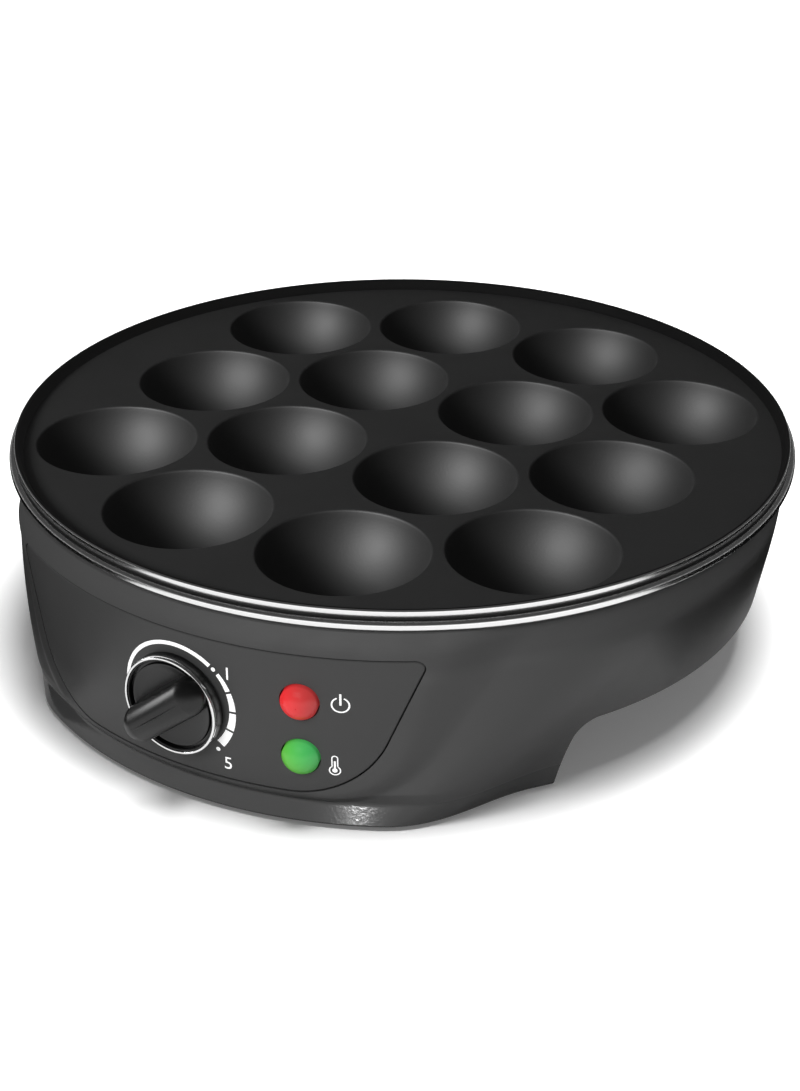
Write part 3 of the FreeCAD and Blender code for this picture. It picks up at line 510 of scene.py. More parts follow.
def finishes():
    """All materials of the cooker by the name of their slot."""
    look = bpy.context.scene.cooker_finish
    lens = partial(material, roughness=0.3, mottle=0.05, mottle_size=0.004, grain=0.1, grain_size=0.0006,
                   Emission_Strength=0.35)
    return {
        "housing_shell": material("housing_satin", look.housing, 0.42, grain=0.2, mottle=0.03,
                                  wear=housing_wear, Specular_IOR_Level=0.4),
        "panel_shell": material("panel_satin", look.panel, 0.46, grain=0.3, grain_size=0.0006, mottle=0.03,
                                Specular_IOR_Level=0.4),
        "plate_coat": material("plate_non_stick", look.coat, 0.63, grain=0.3, grain_size=0.0007, mottle=0.08,
                               spread=0.03),
        "bright_trim": material("trim_bright", look.trim, 0.22, 1.0, grain=0.05, mottle=0.02, spread=0.04),
        "seal_rubber": material("seal_silicone", look.rubber, 0.6, grain=0.2),
        "cover_shell": material("cover_black", look.black, 0.6, grain=0.4),
        "knob_black": material("dial_black", look.dial, 0.31, grain=0.06, mottle=0.1, spread=0.03),
        "chrome_ring": material("dial_chrome", look.trim, 0.12, 1.0, spread=0.03),
        "spring_steel": material("spring_steel", look.steel, 0.3, 1.0, spread=0.08),
        "steel": material("plated_steel", look.steel, 0.35, 1.0, grain=0.1, spread=0.1),
        "bakelite": material("thermostat_case", (0.03, 0.018, 0.012), 0.5, grain=0.2),
        "zinc_sheet": material("zinc_sheet", look.steel, 0.42, 1.0, grain=0.1, mottle=0.12,
                               mottle_size=0.006),
        "copper": material("copper_strip", (0.60, 0.27, 0.14), 0.35, 1.0, mottle=0.15),
        "element_sheath": material("heater_sheath", (0.045, 0.042, 0.04), 0.5, 0.8, grain=0.2, mottle=0.25),
        "fuse_case": material("fuse_case", look.steel, 0.3, 1.0),
        "inlet_plastic": material("inlet_black", look.black, 0.5, grain=0.3),
        "block_plastic": material("block_cream", (0.60, 0.56, 0.46), 0.5, grain=0.2),
        "brass": material("brass_poles", (0.62, 0.42, 0.14), 0.3, 1.0, mottle=0.1),
        # Both lenses carry painted shade, paler at their lower left and darker at their upper right.
        "lens_red": lens("lamp_red", look.power, shade=lens_painted_shade(look.power, look.power_painted_shade, 0)),
        "lens_green": lens("lamp_green", look.ready, shade=lens_painted_shade(look.ready, look.ready_painted_shade, 1)),
        "holder_plastic": material("lamp_holder", look.black, 0.5, grain=0.2),
        "neon_glass": material("neon_glass", (0.45, 0.45, 0.45), 0.1, mottle=0.02),
        "foot_rubber": material("foot_rubber", look.rubber, 0.75, grain=0.5),
        # Painted light: the print glows faintly white, though it is no lamp, so that it looks brighter than
        # the lights make it.
        "print": material("print_white", look.print_white, 0.5, mottle=0.02, grain=0.1,
                          Emission_Color=WHITE, Emission_Strength=0.3),
    }


# --- Cooking plate and rim ---

def hollow_places(plate):
    """Centres of the hollows on the plate."""
    places = []
    for side in (-1, 1):
        places += [(side * plate.inner_column, (row - 1.5) * plate.pitch) for row in range(4)]
        places += [(side * plate.outer_column, (row - 1) * plate.pitch) for row in range(3)]
    return places


def fill_between(bm, outer, holes):
    """Fill a flat ring-shaped field that has round holes in it."""
    edges = []
    for loop in [outer] + holes:
        verts = [bm.verts.new(p) for p in loop]
        edges += [bm.edges.new((verts[i], verts[(i + 1) % len(verts)])) for i in range(len(verts))]
    bmesh.ops.triangle_fill(bm, use_beauty=True, use_dissolve=False, edges=edges)


class COOKER_OT_plate(bpy.types.Operator):
    """Cast the cooking plate with its hollows, lip and underside"""
    bl_idname = "cooker.plate"
    bl_label = "Cooking Plate"

    def execute(self, context):
        plate = context.scene.cooker_plate
        top = plate_top()
        ball = (plate.mouth ** 2 + plate.depth ** 2) / (2 * plate.depth)
        centre = ball - plate.depth
        round_x = math.sqrt((ball + plate.edge) ** 2 - (centre + plate.edge) ** 2)
        lean = math.degrees(math.atan2(centre + plate.edge, round_x))
        mouth = arc((round_x, -plate.edge), plate.edge, 90, 180 - lean, 6)
        bowl = arc((0, centre), ball, -lean, -90, 26)
        inside = mouth[:-1] + bowl[:-1]
        shell = ball + plate.wall
        under = plate.thickness
        reach = math.sqrt(shell ** 2 - (centre + under) ** 2)
        start = -math.degrees(math.atan2(centre + under, reach))
        outside = arc((0, centre), shell, start, -90, 12)[:-1]
        step = 0.0024

        bm = bmesh.new()
        places = hollow_places(plate)
        for place in places:
            for profile, steps, low in ((inside, plate.bowl_steps, ball - centre),
                                        (outside, plate.bowl_steps // 2, shell - centre)):
                loops = add_loops(bm, [circle(r, top + z, steps, place) for r, z in profile])
                tip = bm.verts.new((*place, top - low))
                ring = loops[-1]
                for i in range(steps):
                    bm.faces.new((ring[i], ring[(i + 1) % steps], tip))
        lathe(bm, [(plate.floor, top), (plate.floor - step, top - under)], plate.rim_steps, closed=False)
        fill_between(bm, circle(plate.floor, top, plate.rim_steps),
                     [circle(round_x, top, plate.bowl_steps, p) for p in places])
        fill_between(bm, circle(plate.floor - step, top - under, plate.rim_steps),
                     [circle(reach, top - under, plate.bowl_steps // 2, p) for p in places])
        add_piece("plate", bm, "plate_coat", "cooking_plate", sharp=50)

        corner = (plate.floor, top)
        rim = offset(corner, (0, 0), (0.0004, 0.0006), (0.001, 0.0022), (0.0012, 0.0027),
                     (0.00145, plate.lip), (0.0018, plate.lip))
        rim += arc((plate.floor + 0.0019, top + plate.lip - 0.0005), 0.00034, 80, 0, 5)
        rim += offset(corner, (0.00224, 0.0011), (0.001, 0.0011), (0.001, -0.0011), (-step, -0.0011),
                      (-step, -under))
        turn_piece("plate_lip", rim, plate.rim_steps, "plate_coat", sharp=50)
        return {"FINISHED"}


class COOKER_OT_rim(bpy.types.Operator):
    """Turn the bright trim bead and the seal under the plate's lip"""
    bl_idname = "cooker.rim"
    bl_label = "Rim"

    def execute(self, context):
        plate = context.scene.cooker_plate
        top = plate_top()
        wall = plate.floor + 0.001
        bead = wall + 0.0007
        outer = bead + 0.0021
        nose = 0.001
        trim = offset((bead, top), (-0.0037, -0.0021), (-0.0037, -0.0011), (0, -0.0011), (0, 0.0002),
                      (0.00015, 0.00035))
        trim += arc((outer - nose, top - 0.00065), nose, 90, 0, 8)
        trim += offset((outer, top), (0, -0.0014), (-0.0001, -0.00165), (-0.0005, -0.0021))

        edge = (plate.floor + 0.0019, top + plate.lip - 0.0005)
        band = offset((plate.floor, top), (0.00222, 0.0011), (0.00235, 0.00112), (0.0024, 0.00118))
        band += arc(edge, 0.0005, 0, 78, 7) + arc(edge, 0.00032, 78, 0, 5)

        gap = 0.00005
        seal_foot, seal_step, seal_head = top - 0.0011 + gap, top + 0.0004, top + 0.00105
        tongue = bead + 0.00055
        seal = [(wall + gap, seal_foot), (bead - gap, seal_foot), (bead - gap, seal_step),
                (tongue, seal_step), (tongue, seal_head), (wall + gap, seal_head)]

        turn_piece("trim", trim, plate.rim_steps, "bright_trim", "trim_ring", sharp=40)
        turn_piece("lip_band", band, plate.rim_steps, "bright_trim", sharp=40)
        turn_piece("seal", seal, plate.rim_steps, "seal_rubber", "rim_seal", sharp=40)
        return {"FINISHED"}


# --- Housing and panel ---

# The shoulder's drop under the cooking surface and its rounding, and the bore under the rim.
SHOULDER_DROP = 0.0042
SHOULDER_ROUND = 0.0014
BORE = 0.10415

# The hole of the mains inlet, and where the cutters of inlet and arches start and end.
INLET_RADIUS = 0.0085
INLET_HEIGHT = 0.021
INLET_SEAT = 0.10258
ARCH_SEAT = 0.070
OUTSIDE = 0.125

# How far the housing's inner face stays behind the pad's face, so that it backs the panel's seat.
SEAT_BACK = 0.0045

# The band under the pad: where its flare starts, where its waist starts and ends, and how wide the waist is.
FLARE_TOP = 0.0065
WAIST_FOOT = 0.0006
WAIST_TOP = 0.01
WAIST_HALF = math.radians(24)
WAIST_FADE = math.radians(18)


def housing_levels():
    """Foot and shoulder heights of the housing, and the height of its top."""
    low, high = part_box("housing")
    return low.z, plate_top() - SHOULDER_DROP, high.z


def body_radius(turn, z, inset=0.0):
    """Radius of the housing at angles from the front and heights."""
    form = bpy.context.scene.cooker_housing
    foot, shoulder, _ = housing_levels()
    share = np.clip((shoulder - z) / (shoulder - foot), 0, 1)
    half = form.nose_top + (form.nose_foot - form.nose_top) * share
    blend = fade((np.abs(turn) - half) / form.nose_fade)
    side = form.foot + (form.shoulder - form.foot) * fade(share) - inset
    front = form.shoulder + (form.nose - form.shoulder) * share - inset
    front = front + form.band_flare * np.clip((FLARE_TOP - z) / 0.0055, 0, 1)
    drawn = np.clip((z - foot - WAIST_FOOT) / 0.005, 0, 1) * np.clip((WAIST_TOP - z) / 0.003, 0, 1)
    front = front - form.waist * drawn * fade((np.abs(turn) - WAIST_HALF) / WAIST_FADE)
    if inset:
        front = np.minimum(front, form.pad - SEAT_BACK)
    return side + (front - side) * blend


def level_loop(radius, turns, height):
    """Points at radii, angles from the front and heights."""
    return [(r * math.sin(t), -r * math.cos(t), z) for r, t, z in zip(radius, turns, height)]


def seat_cutter(bm, outline, reach):
    """Cutter for the panel's seat, whose inner face follows the panel's cylinder."""
    flat = -0.090
    face = close_prism(bm, outline, lambda x, z: (x, flat, z), lambda x, z: (x, -0.130, z))
    slice_columns(bm, [face] + list(face.edges) + list(face.verts), max(x for x, _ in outline))
    for vert in bm.verts:
        if abs(vert.co.y - flat) < 1e-6:
            vert.co.y = -math.sqrt(reach ** 2 - vert.co.x ** 2)


class COOKER_OT_housing(bpy.types.Operator):
    """Mould the housing: round body, nose, raised pad, arches and the seat of the panel"""
    bl_idname = "cooker.housing"
    bl_label = "Housing"

    def execute(self, context):
        form = context.scene.cooker_housing
        turns = np.radians(np.concatenate([np.arange(-60, 60, 0.5), np.arange(60, 300, 1.5)]))
        turns = (turns + np.pi) % (2 * np.pi) - np.pi
        bm = bmesh.new()
        add_loops(bm, self.outside(form, turns) + self.inside(form, turns), close_stack=True)
        add_piece("shell", bm, "housing_shell", "housing", cutter=self.openings(form))
        return {"FINISHED"}

    def rows(self, form, turns):
        """Radii and heights of the body and of the pad, from the foot to the rim."""
        foot, shoulder, top = housing_levels()
        knee = top - 0.0062
        bend = shoulder - SHOULDER_ROUND
        edge = body_radius(turns, foot)
        rows = [(edge - inset, form.pad, foot + rise, foot + rise)
                for inset, rise in ((0.0006, 0), (0.00018, 0.00018))]
        for z in np.concatenate([[foot + 0.0006], np.arange(foot + 0.001, foot + 0.013, 0.0004),
                                 np.linspace(foot + 0.0135, bend, 44)]):
            lean = form.pad_lean * min(max((z - knee) / 0.006, 0), 1) ** 2
            rows.append((body_radius(turns, z), form.pad - lean, z, z))
        body_top = arc((form.shoulder - SHOULDER_ROUND, bend), SHOULDER_ROUND, 0, 90, 6)[1:]
        body_top += [(form.neck, z) for z in (shoulder + 0.0001, shoulder + (top - shoulder) * 0.6, top)]
        pad_top = [(form.pad - form.pad_lean * ((z - knee) / 0.006) ** 2, z)
                   for z in np.linspace(bend, top - 0.0003, 7)[1:]]
        pad_top += [(pad_top[-1][0] - 0.0003, top - 0.0002), (form.neck + 0.0004, top - 0.0001),
                    (form.neck, top)]
        return rows + [(np.full(len(turns), body[0]), pad[0], body[1], pad[1])
                       for body, pad in zip(body_top, pad_top)]

    def outside(self, form, turns):
        """Loops of the outer face, which rises from the body to the pad over a soft edge."""
        shoulder = housing_levels()[1]
        outline = trapezoid(PAD_TOP, PAD_FOOT, run_on=PAD_RUN_ON)
        loops = []
        for radius, pad, low_z, high_z in self.rows(form, turns):
            level = min(low_z, shoulder)
            points = np.stack([radius * np.sin(turns), np.full(len(turns), level)], axis=1)
            inside = edge_distance(points, outline)
            inside[np.cos(turns) < 0.2] = -1
            soft = min(form.pad_soft + 0.3 * (level - 0.006), form.pad_fade)
            share = 1 - fade(inside / max(soft, form.pad_soft))
            reach = np.maximum(pad, radius) if level < shoulder else pad
            full = radius + (reach - radius) * share
            height = low_z + (high_z - low_z) * share
            loops.append(level_loop(full, turns, height))
        return loops

    def inside(self, form, turns):
        """Loops of the bore under the rim and of the inner face."""
        foot, shoulder, top = housing_levels()
        under = shoulder - 0.0005
        rows = [(np.full(len(turns), BORE), z) for z in (top, under)]
        rows += [(body_radius(turns, z, form.wall), z) for z in np.linspace(under, foot, 14)]
        return [level_loop(radius, turns, np.full(len(turns), z)) for radius, z in rows]

    def openings(self, form):
        """Cutter for the arches, the seat of the panel and the mains inlet."""
        cutter = bmesh.new()
        slope = form.arch_lean / form.arch_top
        below = 0.01
        arch = [(form.arch_half + form.arch_lean + below * slope, -below)]
        bend = form.arch_round
        arch += arc((form.arch_half - bend + slope * bend, form.arch_top - bend), bend,
                    math.degrees(math.atan(slope)), 90, 14)
        outline = arch + [(-y, z) for y, z in reversed(arch)]
        for side in (-1, 1):
            close_prism(cutter, outline, lambda y, z: (side * ARCH_SEAT, y, z),
                        lambda y, z: (side * OUTSIDE, y, z))
        seat_cutter(cutter, trapezoid(PANEL_TOP, PANEL_FOOT, -form.groove), form.pad - 0.00255)
        close_prism(cutter, round_hole((0, INLET_HEIGHT), INLET_RADIUS, 48),
                    lambda x, z: (x, INLET_SEAT, z), lambda x, z: (x, OUTSIDE, z))
        return cutter


class COOKER_OT_panel(bpy.types.Operator):
    """Cut the flush control panel with its softened edge"""
    bl_idname = "cooker.panel"
    bl_label = "Control Panel"

    def execute(self, context):
        form = context.scene.cooker_housing
        lamps = context.scene.cooker_lamps
        base = -0.2
        rows = [(0.0004, 0.0), (0.00025, 0.00004), (0.0001, 0.00015), (0.0, 0.0004), (0.0, 0.0024)]
        bm = bmesh.new()
        stack = add_loops(bm, [[(x, base + depth, z) for x, z in trapezoid(PANEL_TOP, PANEL_FOOT, inset)]
                               for inset, depth in rows])
        bm.faces.new(stack[0])
        bm.faces.new(list(reversed(stack[-1])))
        slice_columns(bm, list(bm.verts) + list(bm.edges) + list(bm.faces), max(v.co.x for v in bm.verts))
        for vert in bm.verts:
            depth = vert.co.y - base
            vert.co.y = -math.sqrt((form.pad - depth) ** 2 - vert.co.x ** 2)

        cutter = bmesh.new()
        core, wide, flare = 0.001, lamps.radius + lamps.seat_gap, 0.0003
        low, step, high = -0.004, -0.0002, 0.0006
        profile = [(core, low), (wide, low), (wide, step), (wide + flare, high), (core, high)]
        for drop in LAMP_DROPS:
            verts = sum(lathe(cutter, profile, 64), [])
            bmesh.ops.transform(cutter, matrix=facing(lamps.side, form.pad, plate_top() - drop), verts=verts)
        add_piece("panel", bm, "panel_shell", "control_panel", sharp=35, cutter=cutter)
        return {"FINISHED"}


# --- Printed marks ---

# How far a print stands over the panel.
PRINT_LIFT = 0.00004


def on_panel(x, z):
    """Place of a print on the panel's cylinder, seen from the front."""
    return (x, -math.sqrt((bpy.context.scene.cooker_housing.pad + PRINT_LIFT) ** 2 - x * x), z)


def scale_tree():
    """Geometry Nodes: a row of curved blocks round the dial, laid on the panel's cylinder."""
    tree = bpy.data.node_groups.new("scale_marks", "GeometryNodeTree")
    tree.interface.new_socket("Geometry", in_out="OUTPUT", socket_type="NodeSocketGeometry")
    tree.interface.new_socket("Blocks", in_out="INPUT", socket_type="NodeSocketInt")
    for name in ("First", "Pitch", "Sweep", "Outer Radius", "First Width", "Width Growth", "Panel Radius",
                 "Dial Height"):
        tree.interface.new_socket(name, in_out="INPUT", socket_type="NodeSocketFloat")
    given = tree.nodes.new("NodeGroupInput").outputs
    calc = partial(maths, tree)
    shape = partial(add_node, tree, family="Geometry")

    grid = shape("MeshGrid", {"Size X": given["Sweep"], "Size Y": 1.0, "Vertices X": 40, "Vertices Y": 3},
                 "Mesh")
    first, step = [add_node(tree, "CombineXYZ", {"X": given[name]}) for name in ("First", "Pitch")]
    row = shape("MeshLine", {"Count": given["Blocks"], "Start Location": first, "Offset": step}, "Mesh")
    spread = shape("InstanceOnPoints", {"Points": row, "Instance": grid}, "Instances")
    real = shape("RealizeInstances", {"Geometry": spread})

    place = add_node(tree, "SeparateXYZ", {0: shape("InputPosition")}).node.outputs
    turn = place["X"]
    width = calc("ADD", given["First Width"],
                 calc("MULTIPLY", given["Width Growth"], calc("SUBTRACT", turn, given["First"])))
    inward = calc("MULTIPLY", width, calc("SUBTRACT", 0.5, place["Y"]))
    radius = calc("SUBTRACT", given["Outer Radius"], inward)
    x = calc("MULTIPLY", radius, calc("SINE", turn))
    z = calc("ADD", given["Dial Height"], calc("MULTIPLY", radius, calc("COSINE", turn)))
    square = calc("SUBTRACT", calc("MULTIPLY", given["Panel Radius"], given["Panel Radius"]),
                  calc("MULTIPLY", x, x))
    y = calc("MULTIPLY", calc("SQRT", square), -1.0)
    wrapped = add_node(tree, "CombineXYZ", {"X": x, "Y": y, "Z": z})
    laid = shape("SetPosition", {"Geometry": real, "Position": wrapped})
    fill(tree, tree.nodes.new("NodeGroupOutput"), {0: laid})
    return tree


def run_tree(name, tree, values):
    """Evaluate a Geometry Nodes tree with named inputs and return its geometry as a bmesh."""
    mesh = bpy.data.meshes.new(name)
    holder = add_object(name, mesh)
    maker = holder.modifiers.new("maker", "NODES")
    maker.node_group = tree
    sockets = {item.name: item.identifier for item in tree.interface.items_tree if item.in_out == "INPUT"}
    for key, value in values.items():
        maker[sockets[key]] = value
    result = evaluated_mesh(holder)
    bm = bmesh.new()
    bm.from_mesh(result)
    bpy.data.objects.remove(holder)
    bpy.data.meshes.remove(mesh)
    bpy.data.meshes.remove(result)
    return bm


def print_shape(bm, outline):
    """Flat shape on the panel."""
    bm.faces.new([bm.verts.new(on_panel(x, z)) for x, z in outline])


def print_bar(bm, x, half, low, high):
    """Flat upright bar on the panel."""
    print_shape(bm, [(x - half, low), (x + half, low), (x + half, high), (x - half, high)])


def print_ring(bm, x, z, outer, inner, start, end, steps=48):
    """Part of a flat ring on the panel, with angles in degrees from upright."""
    rows = []
    for i in range(steps + 1):
        t = math.radians(start + (end - start) * i / steps)
        rows.append([bm.verts.new(on_panel(x + r * math.sin(t), z + r * math.cos(t)))
                     for r in (inner, outer)])
    for a, b in zip(rows, rows[1:]):
        bm.faces.new((a[0], a[1], b[1], b[0]))


def print_number(bm, text, x, z, size):
    """Plain figure on the panel."""
    curve = bpy.data.curves.new("figure", "FONT")
    curve.body = text
    curve.size = size
    curve.align_y = "CENTER"
    holder = add_object("figure", curve)
    flat = evaluated_mesh(holder)
    verts = [bm.verts.new(on_panel(x + v.co.x, z + v.co.y)) for v in flat.vertices]
    for polygon in flat.polygons:
        bm.faces.new([verts[i] for i in polygon.vertices])
    bpy.data.objects.remove(holder)
    bpy.data.curves.remove(curve)
    bpy.data.meshes.remove(flat)


def print_power_sign(bm, x, z):
    """Open ring with a bar in its gap."""
    print_ring(bm, x, z, 0.0022, 0.00182, 24, 336)
    print_bar(bm, x, 0.00024, z - 0.0001, z + 0.0031)


def print_heat_sign(bm, x, z):
    """Thermometer: an open bulb with a dot and a column, and a tube with a round head."""
    print_ring(bm, x, z, 0.00142, 0.00112, 34, 326)
    outer, inner, head = 0.00080, 0.00052, z + 0.0035
    print_ring(bm, x, head, outer, inner, -90, 90, 20)
    for side in (-1, 1):
        print_shape(bm, [(x + side * outer, head), (x + side * inner, head), (x + side * inner, z + 0.001),
                         (x + side * outer, z + 0.0012)])
    print_shape(bm, round_hole((x, z), 0.00062, 24))
    print_bar(bm, x, 0.00022, z + 0.0002, z + 0.0027)


class COOKER_OT_marks(bpy.types.Operator):
    """Print the dial's scale with plain figures, and the signs beside the lamps"""
    bl_idname = "cooker.marks"
    bl_label = "Printed Marks"

    def execute(self, context):
        dial = context.scene.cooker_dial
        tree = scale_tree()
        shared = {"Outer Radius": dial.scale_radius, "Dial Height": DIAL_Z,
                  "Panel Radius": context.scene.cooker_housing.pad + PRINT_LIFT}
        first, last, gap = math.radians(47), math.radians(129.8), math.radians(2.3)
        pitch = (last - first) / dial.blocks
        blocks = run_tree("blocks", tree, {**shared, "Blocks": dial.blocks, "First": first + pitch / 2,
                                           "Pitch": pitch, "Sweep": pitch - gap, "First Width": 0.0012,
                                           "Width Growth": 0.0009})
        line = run_tree("line", tree, {**shared, "Blocks": 1, "First": math.radians(-31.6), "Pitch": 0.0,
                                       "Sweep": math.radians(138.8), "First Width": 0.00105,
                                       "Width Growth": 0.00012})
        self.finish("scale_blocks", blocks)
        self.finish("scale_line", line)

        figures = bmesh.new()
        middle = dial.scale_radius - 0.0005
        for degrees in (42.5, 135.6):
            t = math.radians(degrees)
            centre = (middle * math.sin(t), DIAL_Z + middle * math.cos(t))
            print_shape(figures, round_hole(centre, 0.00058, 24))
        print_number(figures, "1", 0.0132, DIAL_Z + 0.0112, 0.005)
        print_number(figures, "5", 0.0124, DIAL_Z - 0.015, 0.005)
        self.finish("scale_figures", figures)

        signs = bmesh.new()
        print_power_sign(signs, 0.0419, plate_top() - 0.0216)
        print_heat_sign(signs, 0.0404, plate_top() - 0.0406)
        self.finish("panel_signs", signs)
        return {"FINISHED"}

    def finish(self, name, bm):
        """Turn the print outward and lay it on the cooker."""
        for face in bm.faces:
            face.normal_update()
            if face.normal.y > 0:
                face.normal_flip()
        mesh = make_mesh(name, bm)
        mesh.materials.append(finishes()["print"])
        settle(add_object(name, mesh), "cooker", "panel_shell")


# --- Dial and lamps ---

def stadium(half_width, half_length, height, steps=24):
    """Level outline of a bar with round ends along Y."""
    straight = half_length - half_width
    ends = arc((0, straight), half_width, 0, 180, steps) + arc((0, -straight), half_width, 180, 360, steps)
    return [(x, y, height) for x, y in ends]


class COOKER_OT_dial(bpy.types.Operator):
    """Shape the dial with its grip and its bright ring"""
    bl_idname = "cooker.dial"
    bl_label = "Dial"

    def execute(self, context):
        dial = context.scene.cooker_dial
        back = context.scene.cooker_housing.pad + 0.0003
        place = (Matrix.Translation((0, -back, DIAL_Z)) @ Matrix.Rotation(math.pi / 2, 4, "X")
                 @ Matrix.Rotation(-dial.turn, 4, "Z"))
        face = dial.thickness
        rim = dial.radius
        floor = face - 0.0006
        core = 0.003
        profile = [(core, 0.0)] + offset((rim, 0), (-0.0004, 0), (-0.0001, 0.0001), (0, 0.0004))
        profile += offset((rim, face), (0, -0.0007), (-0.0007, -0.0007), (-0.0007, -0.0001), (-0.0008, 0),
                          (-0.001, 0), (-0.0012, -0.0002), (-0.0013, -0.0012), (-0.0019, -0.0012))
        profile += offset((rim, floor), (-0.0020, -0.0001), (-0.0021, 0.00006), (-0.0023, 0.00008),
                          (-0.0026, -0.00004), (-0.004, -0.0003), (-0.0065, -0.0006))
        bm = bmesh.new()
        lathe(bm, profile + [(core, floor - 0.0008)], 128)
        self.add_grip(bm, dial, face, floor)
        add_piece("dial", bm, "knob_black", "knob", body="dial", sharp=35, move=place)

        inner = rim - 0.00065
        low, high, bevel = face - 0.0006, face + 0.0001, 0.0002
        ring = [(inner, low), (rim, low), (rim, high)] + arc((rim - bevel, high), bevel, 0, 90, 4)[1:]
        ring += arc((inner + bevel, high), bevel, 90, 180, 4)
        turn_piece("dial_ring", ring, 128, "chrome_ring", "knob_ring", body="dial", sharp=50, move=place)
        return {"FINISHED"}

    def add_grip(self, bm, dial, face, floor):
        """Grip with a rounded crest that slopes down towards its far end."""
        half = dial.grip_length / 2
        wide = dial.grip_width / 2
        crest = face + dial.grip_height
        heights = [(floor - 0.001, 0.0), (face + 0.0004, 0.0), (crest - wide, 0.0)]
        heights += [(crest - wide + wide * math.sin(t), wide * (1 - math.cos(t)))
                    for t in np.radians([10, 20, 30, 40, 50, 60, 68, 76, 83, 88])]
        rows = add_loops(bm, [stadium(wide - inset, half - inset, z) for z, inset in heights])
        cap = bm.faces.new(rows[-1])
        bm.faces.new(list(reversed(rows[0])))
        bmesh.ops.poke(bm, faces=[cap])
        start, fall = -0.35, 0.55
        for vert in bm.verts:
            above = vert.co.z - face
            if above > 0.0003 and math.hypot(vert.co.x, vert.co.y) < dial.radius:
                share = min(max((vert.co.y / half - start) / (1 - start), 0), 1)
                vert.co.z = face + above * (1 - fall * share ** 2)


class COOKER_OT_lamps(bpy.types.Operator):
    """Set the two domed signal lamps in the panel"""
    bl_idname = "cooker.lamps"
    bl_label = "Signal Lamps"

    def execute(self, context):
        lamps = context.scene.cooker_lamps
        ball = (lamps.radius ** 2 + lamps.dome ** 2) / (2 * lamps.dome)
        reach = math.degrees(math.asin(lamps.radius / ball))
        tip = 0.0006 + lamps.dome
        skin = 0.0012
        bore, flange, back, step = 0.0038, 0.0061, -0.0056, -0.0044
        crown = arc((0, tip - ball), ball, 90 - reach, 90, 14)[:-1]
        profile = [(bore, back), (flange, back), (flange, step), (lamps.radius, step)]
        profile += [(lamps.radius, 0.0004)] + crown + [(0.0001, tip), (0.0001, tip - skin)]
        profile += [(r * 0.76, z - skin) for r, z in reversed(crown)]
        for name, drop, slot_name in zip(("power", "ready"), LAMP_DROPS, ("lens_red", "lens_green")):
            place = facing(lamps.side, context.scene.cooker_housing.pad, plate_top() - drop)
            turn_piece(name + "_lamp", profile, 72, slot_name, name + "_lamp_lens", sharp=40, move=place)
        return {"FINISHED"}


class COOKER_OT_inside(bpy.types.Operator):
    """Give every solid that is shown as it is the finish of its slot"""
    bl_idname = "cooker.inside"
    bl_label = "Solids"

    def execute(self, context):
        looks = finishes()
        slots = {part["node"]: part["material_slot"] for part in frame["record"]["subparts"]}
        for node, solid in frame["nodes"].items():
            if not solid.hide_render:
                solid.data.materials.clear()
                solid.data.materials.append(looks[slots[node]])
        return {"FINISHED"}


# --- Studio ---

# A surface without gloss.
DULL = {"Roughness": 1.0, "Specular IOR Level": 0.0}


def aim(turn, height):
    """Direction at an angle from the front, to the right, and an angle over the floor."""
    turn, height = math.radians(turn), math.radians(height)
    return Vector((math.sin(turn) * math.cos(height), -math.cos(turn) * math.cos(height), math.sin(height)))


def link_group(name, things, state):
    """Collection that takes things in or leaves them out for a light."""
    group = bpy.data.collections.new(name)
    for thing in things:
        group.objects.link(bpy.data.objects[thing])
    for entry in group.collection_objects:
        entry.light_linking.link_state = state
    return group


def area_light(name, watts, place, target, size, hidden_from, only):
    """Soft rectangular light aimed at a point, hidden from one kind of ray.

    It lights only the pieces named, or all but the floor."""
    data = bpy.data.lights.new(name, "AREA")
    data.shape = "RECTANGLE"
    data.size, data.size_y = size
    data.energy = watts
    lamp = add_object(name, data)
    lamp.location = place
    lamp.rotation_euler = (target - place).to_track_quat("-Z", "Y").to_euler()
    setattr(lamp, "visible_" + hidden_from, False)
    lamp.light_linking.receiver_collection = link_group(name + "_reach", only or ["floor"],
                                                        "INCLUDE" if only else "EXCLUDE")
    return lamp


def seen_rays(tree):
    """Output that is 1 for rays that show the background: camera, gloss and transmission."""
    rays = tree.nodes.new("ShaderNodeLightPath").outputs
    gloss = maths(tree, "MAXIMUM", rays["Is Camera Ray"], rays["Is Glossy Ray"])
    return maths(tree, "MAXIMUM", gloss, rays["Is Transmission Ray"])


def backdrop_material():
    """Pale floor that shows white to the camera and in gloss, and keeps the shadow."""
    made, tree, shader = new_material("floor_white")
    seen = seen_rays(tree)
    camera = add_node(tree, "LightPath", out="Is Camera Ray")
    place = add_node(tree, "TexCoord", out="Object")
    reach = add_node(tree, "VectorMath", {0: place}, "Value", operation="LENGTH")
    tone = mix(tree, camera, ramp(tree, seen, 0, 1, 0.22, 0.50), 0.95)
    glow = maths(tree, "MULTIPLY", seen, ramp(tree, reach, 0.16, 0.9, 0.12))
    fill(tree, shader, {**DULL, "Base Color": tone, "Emission Color": WHITE, "Emission Strength": glow})
    return made


def floor_card(name, start, end, look):
    """Black card on the floor beside the cooker, seen only in gloss. Angles are taken from the front."""
    turns = [math.radians(start + (end - start) * i / 24) for i in range(25)]
    bm = bmesh.new()
    add_loops(bm, [[(r * math.sin(t), -r * math.cos(t), 0.0006) for t in turns] for r in (0.118, 1.6)],
              close_loops=False)
    card = stand(name, bm, look)
    card.visible_camera = False
    card.visible_diffuse = False
    card.visible_shadow = False


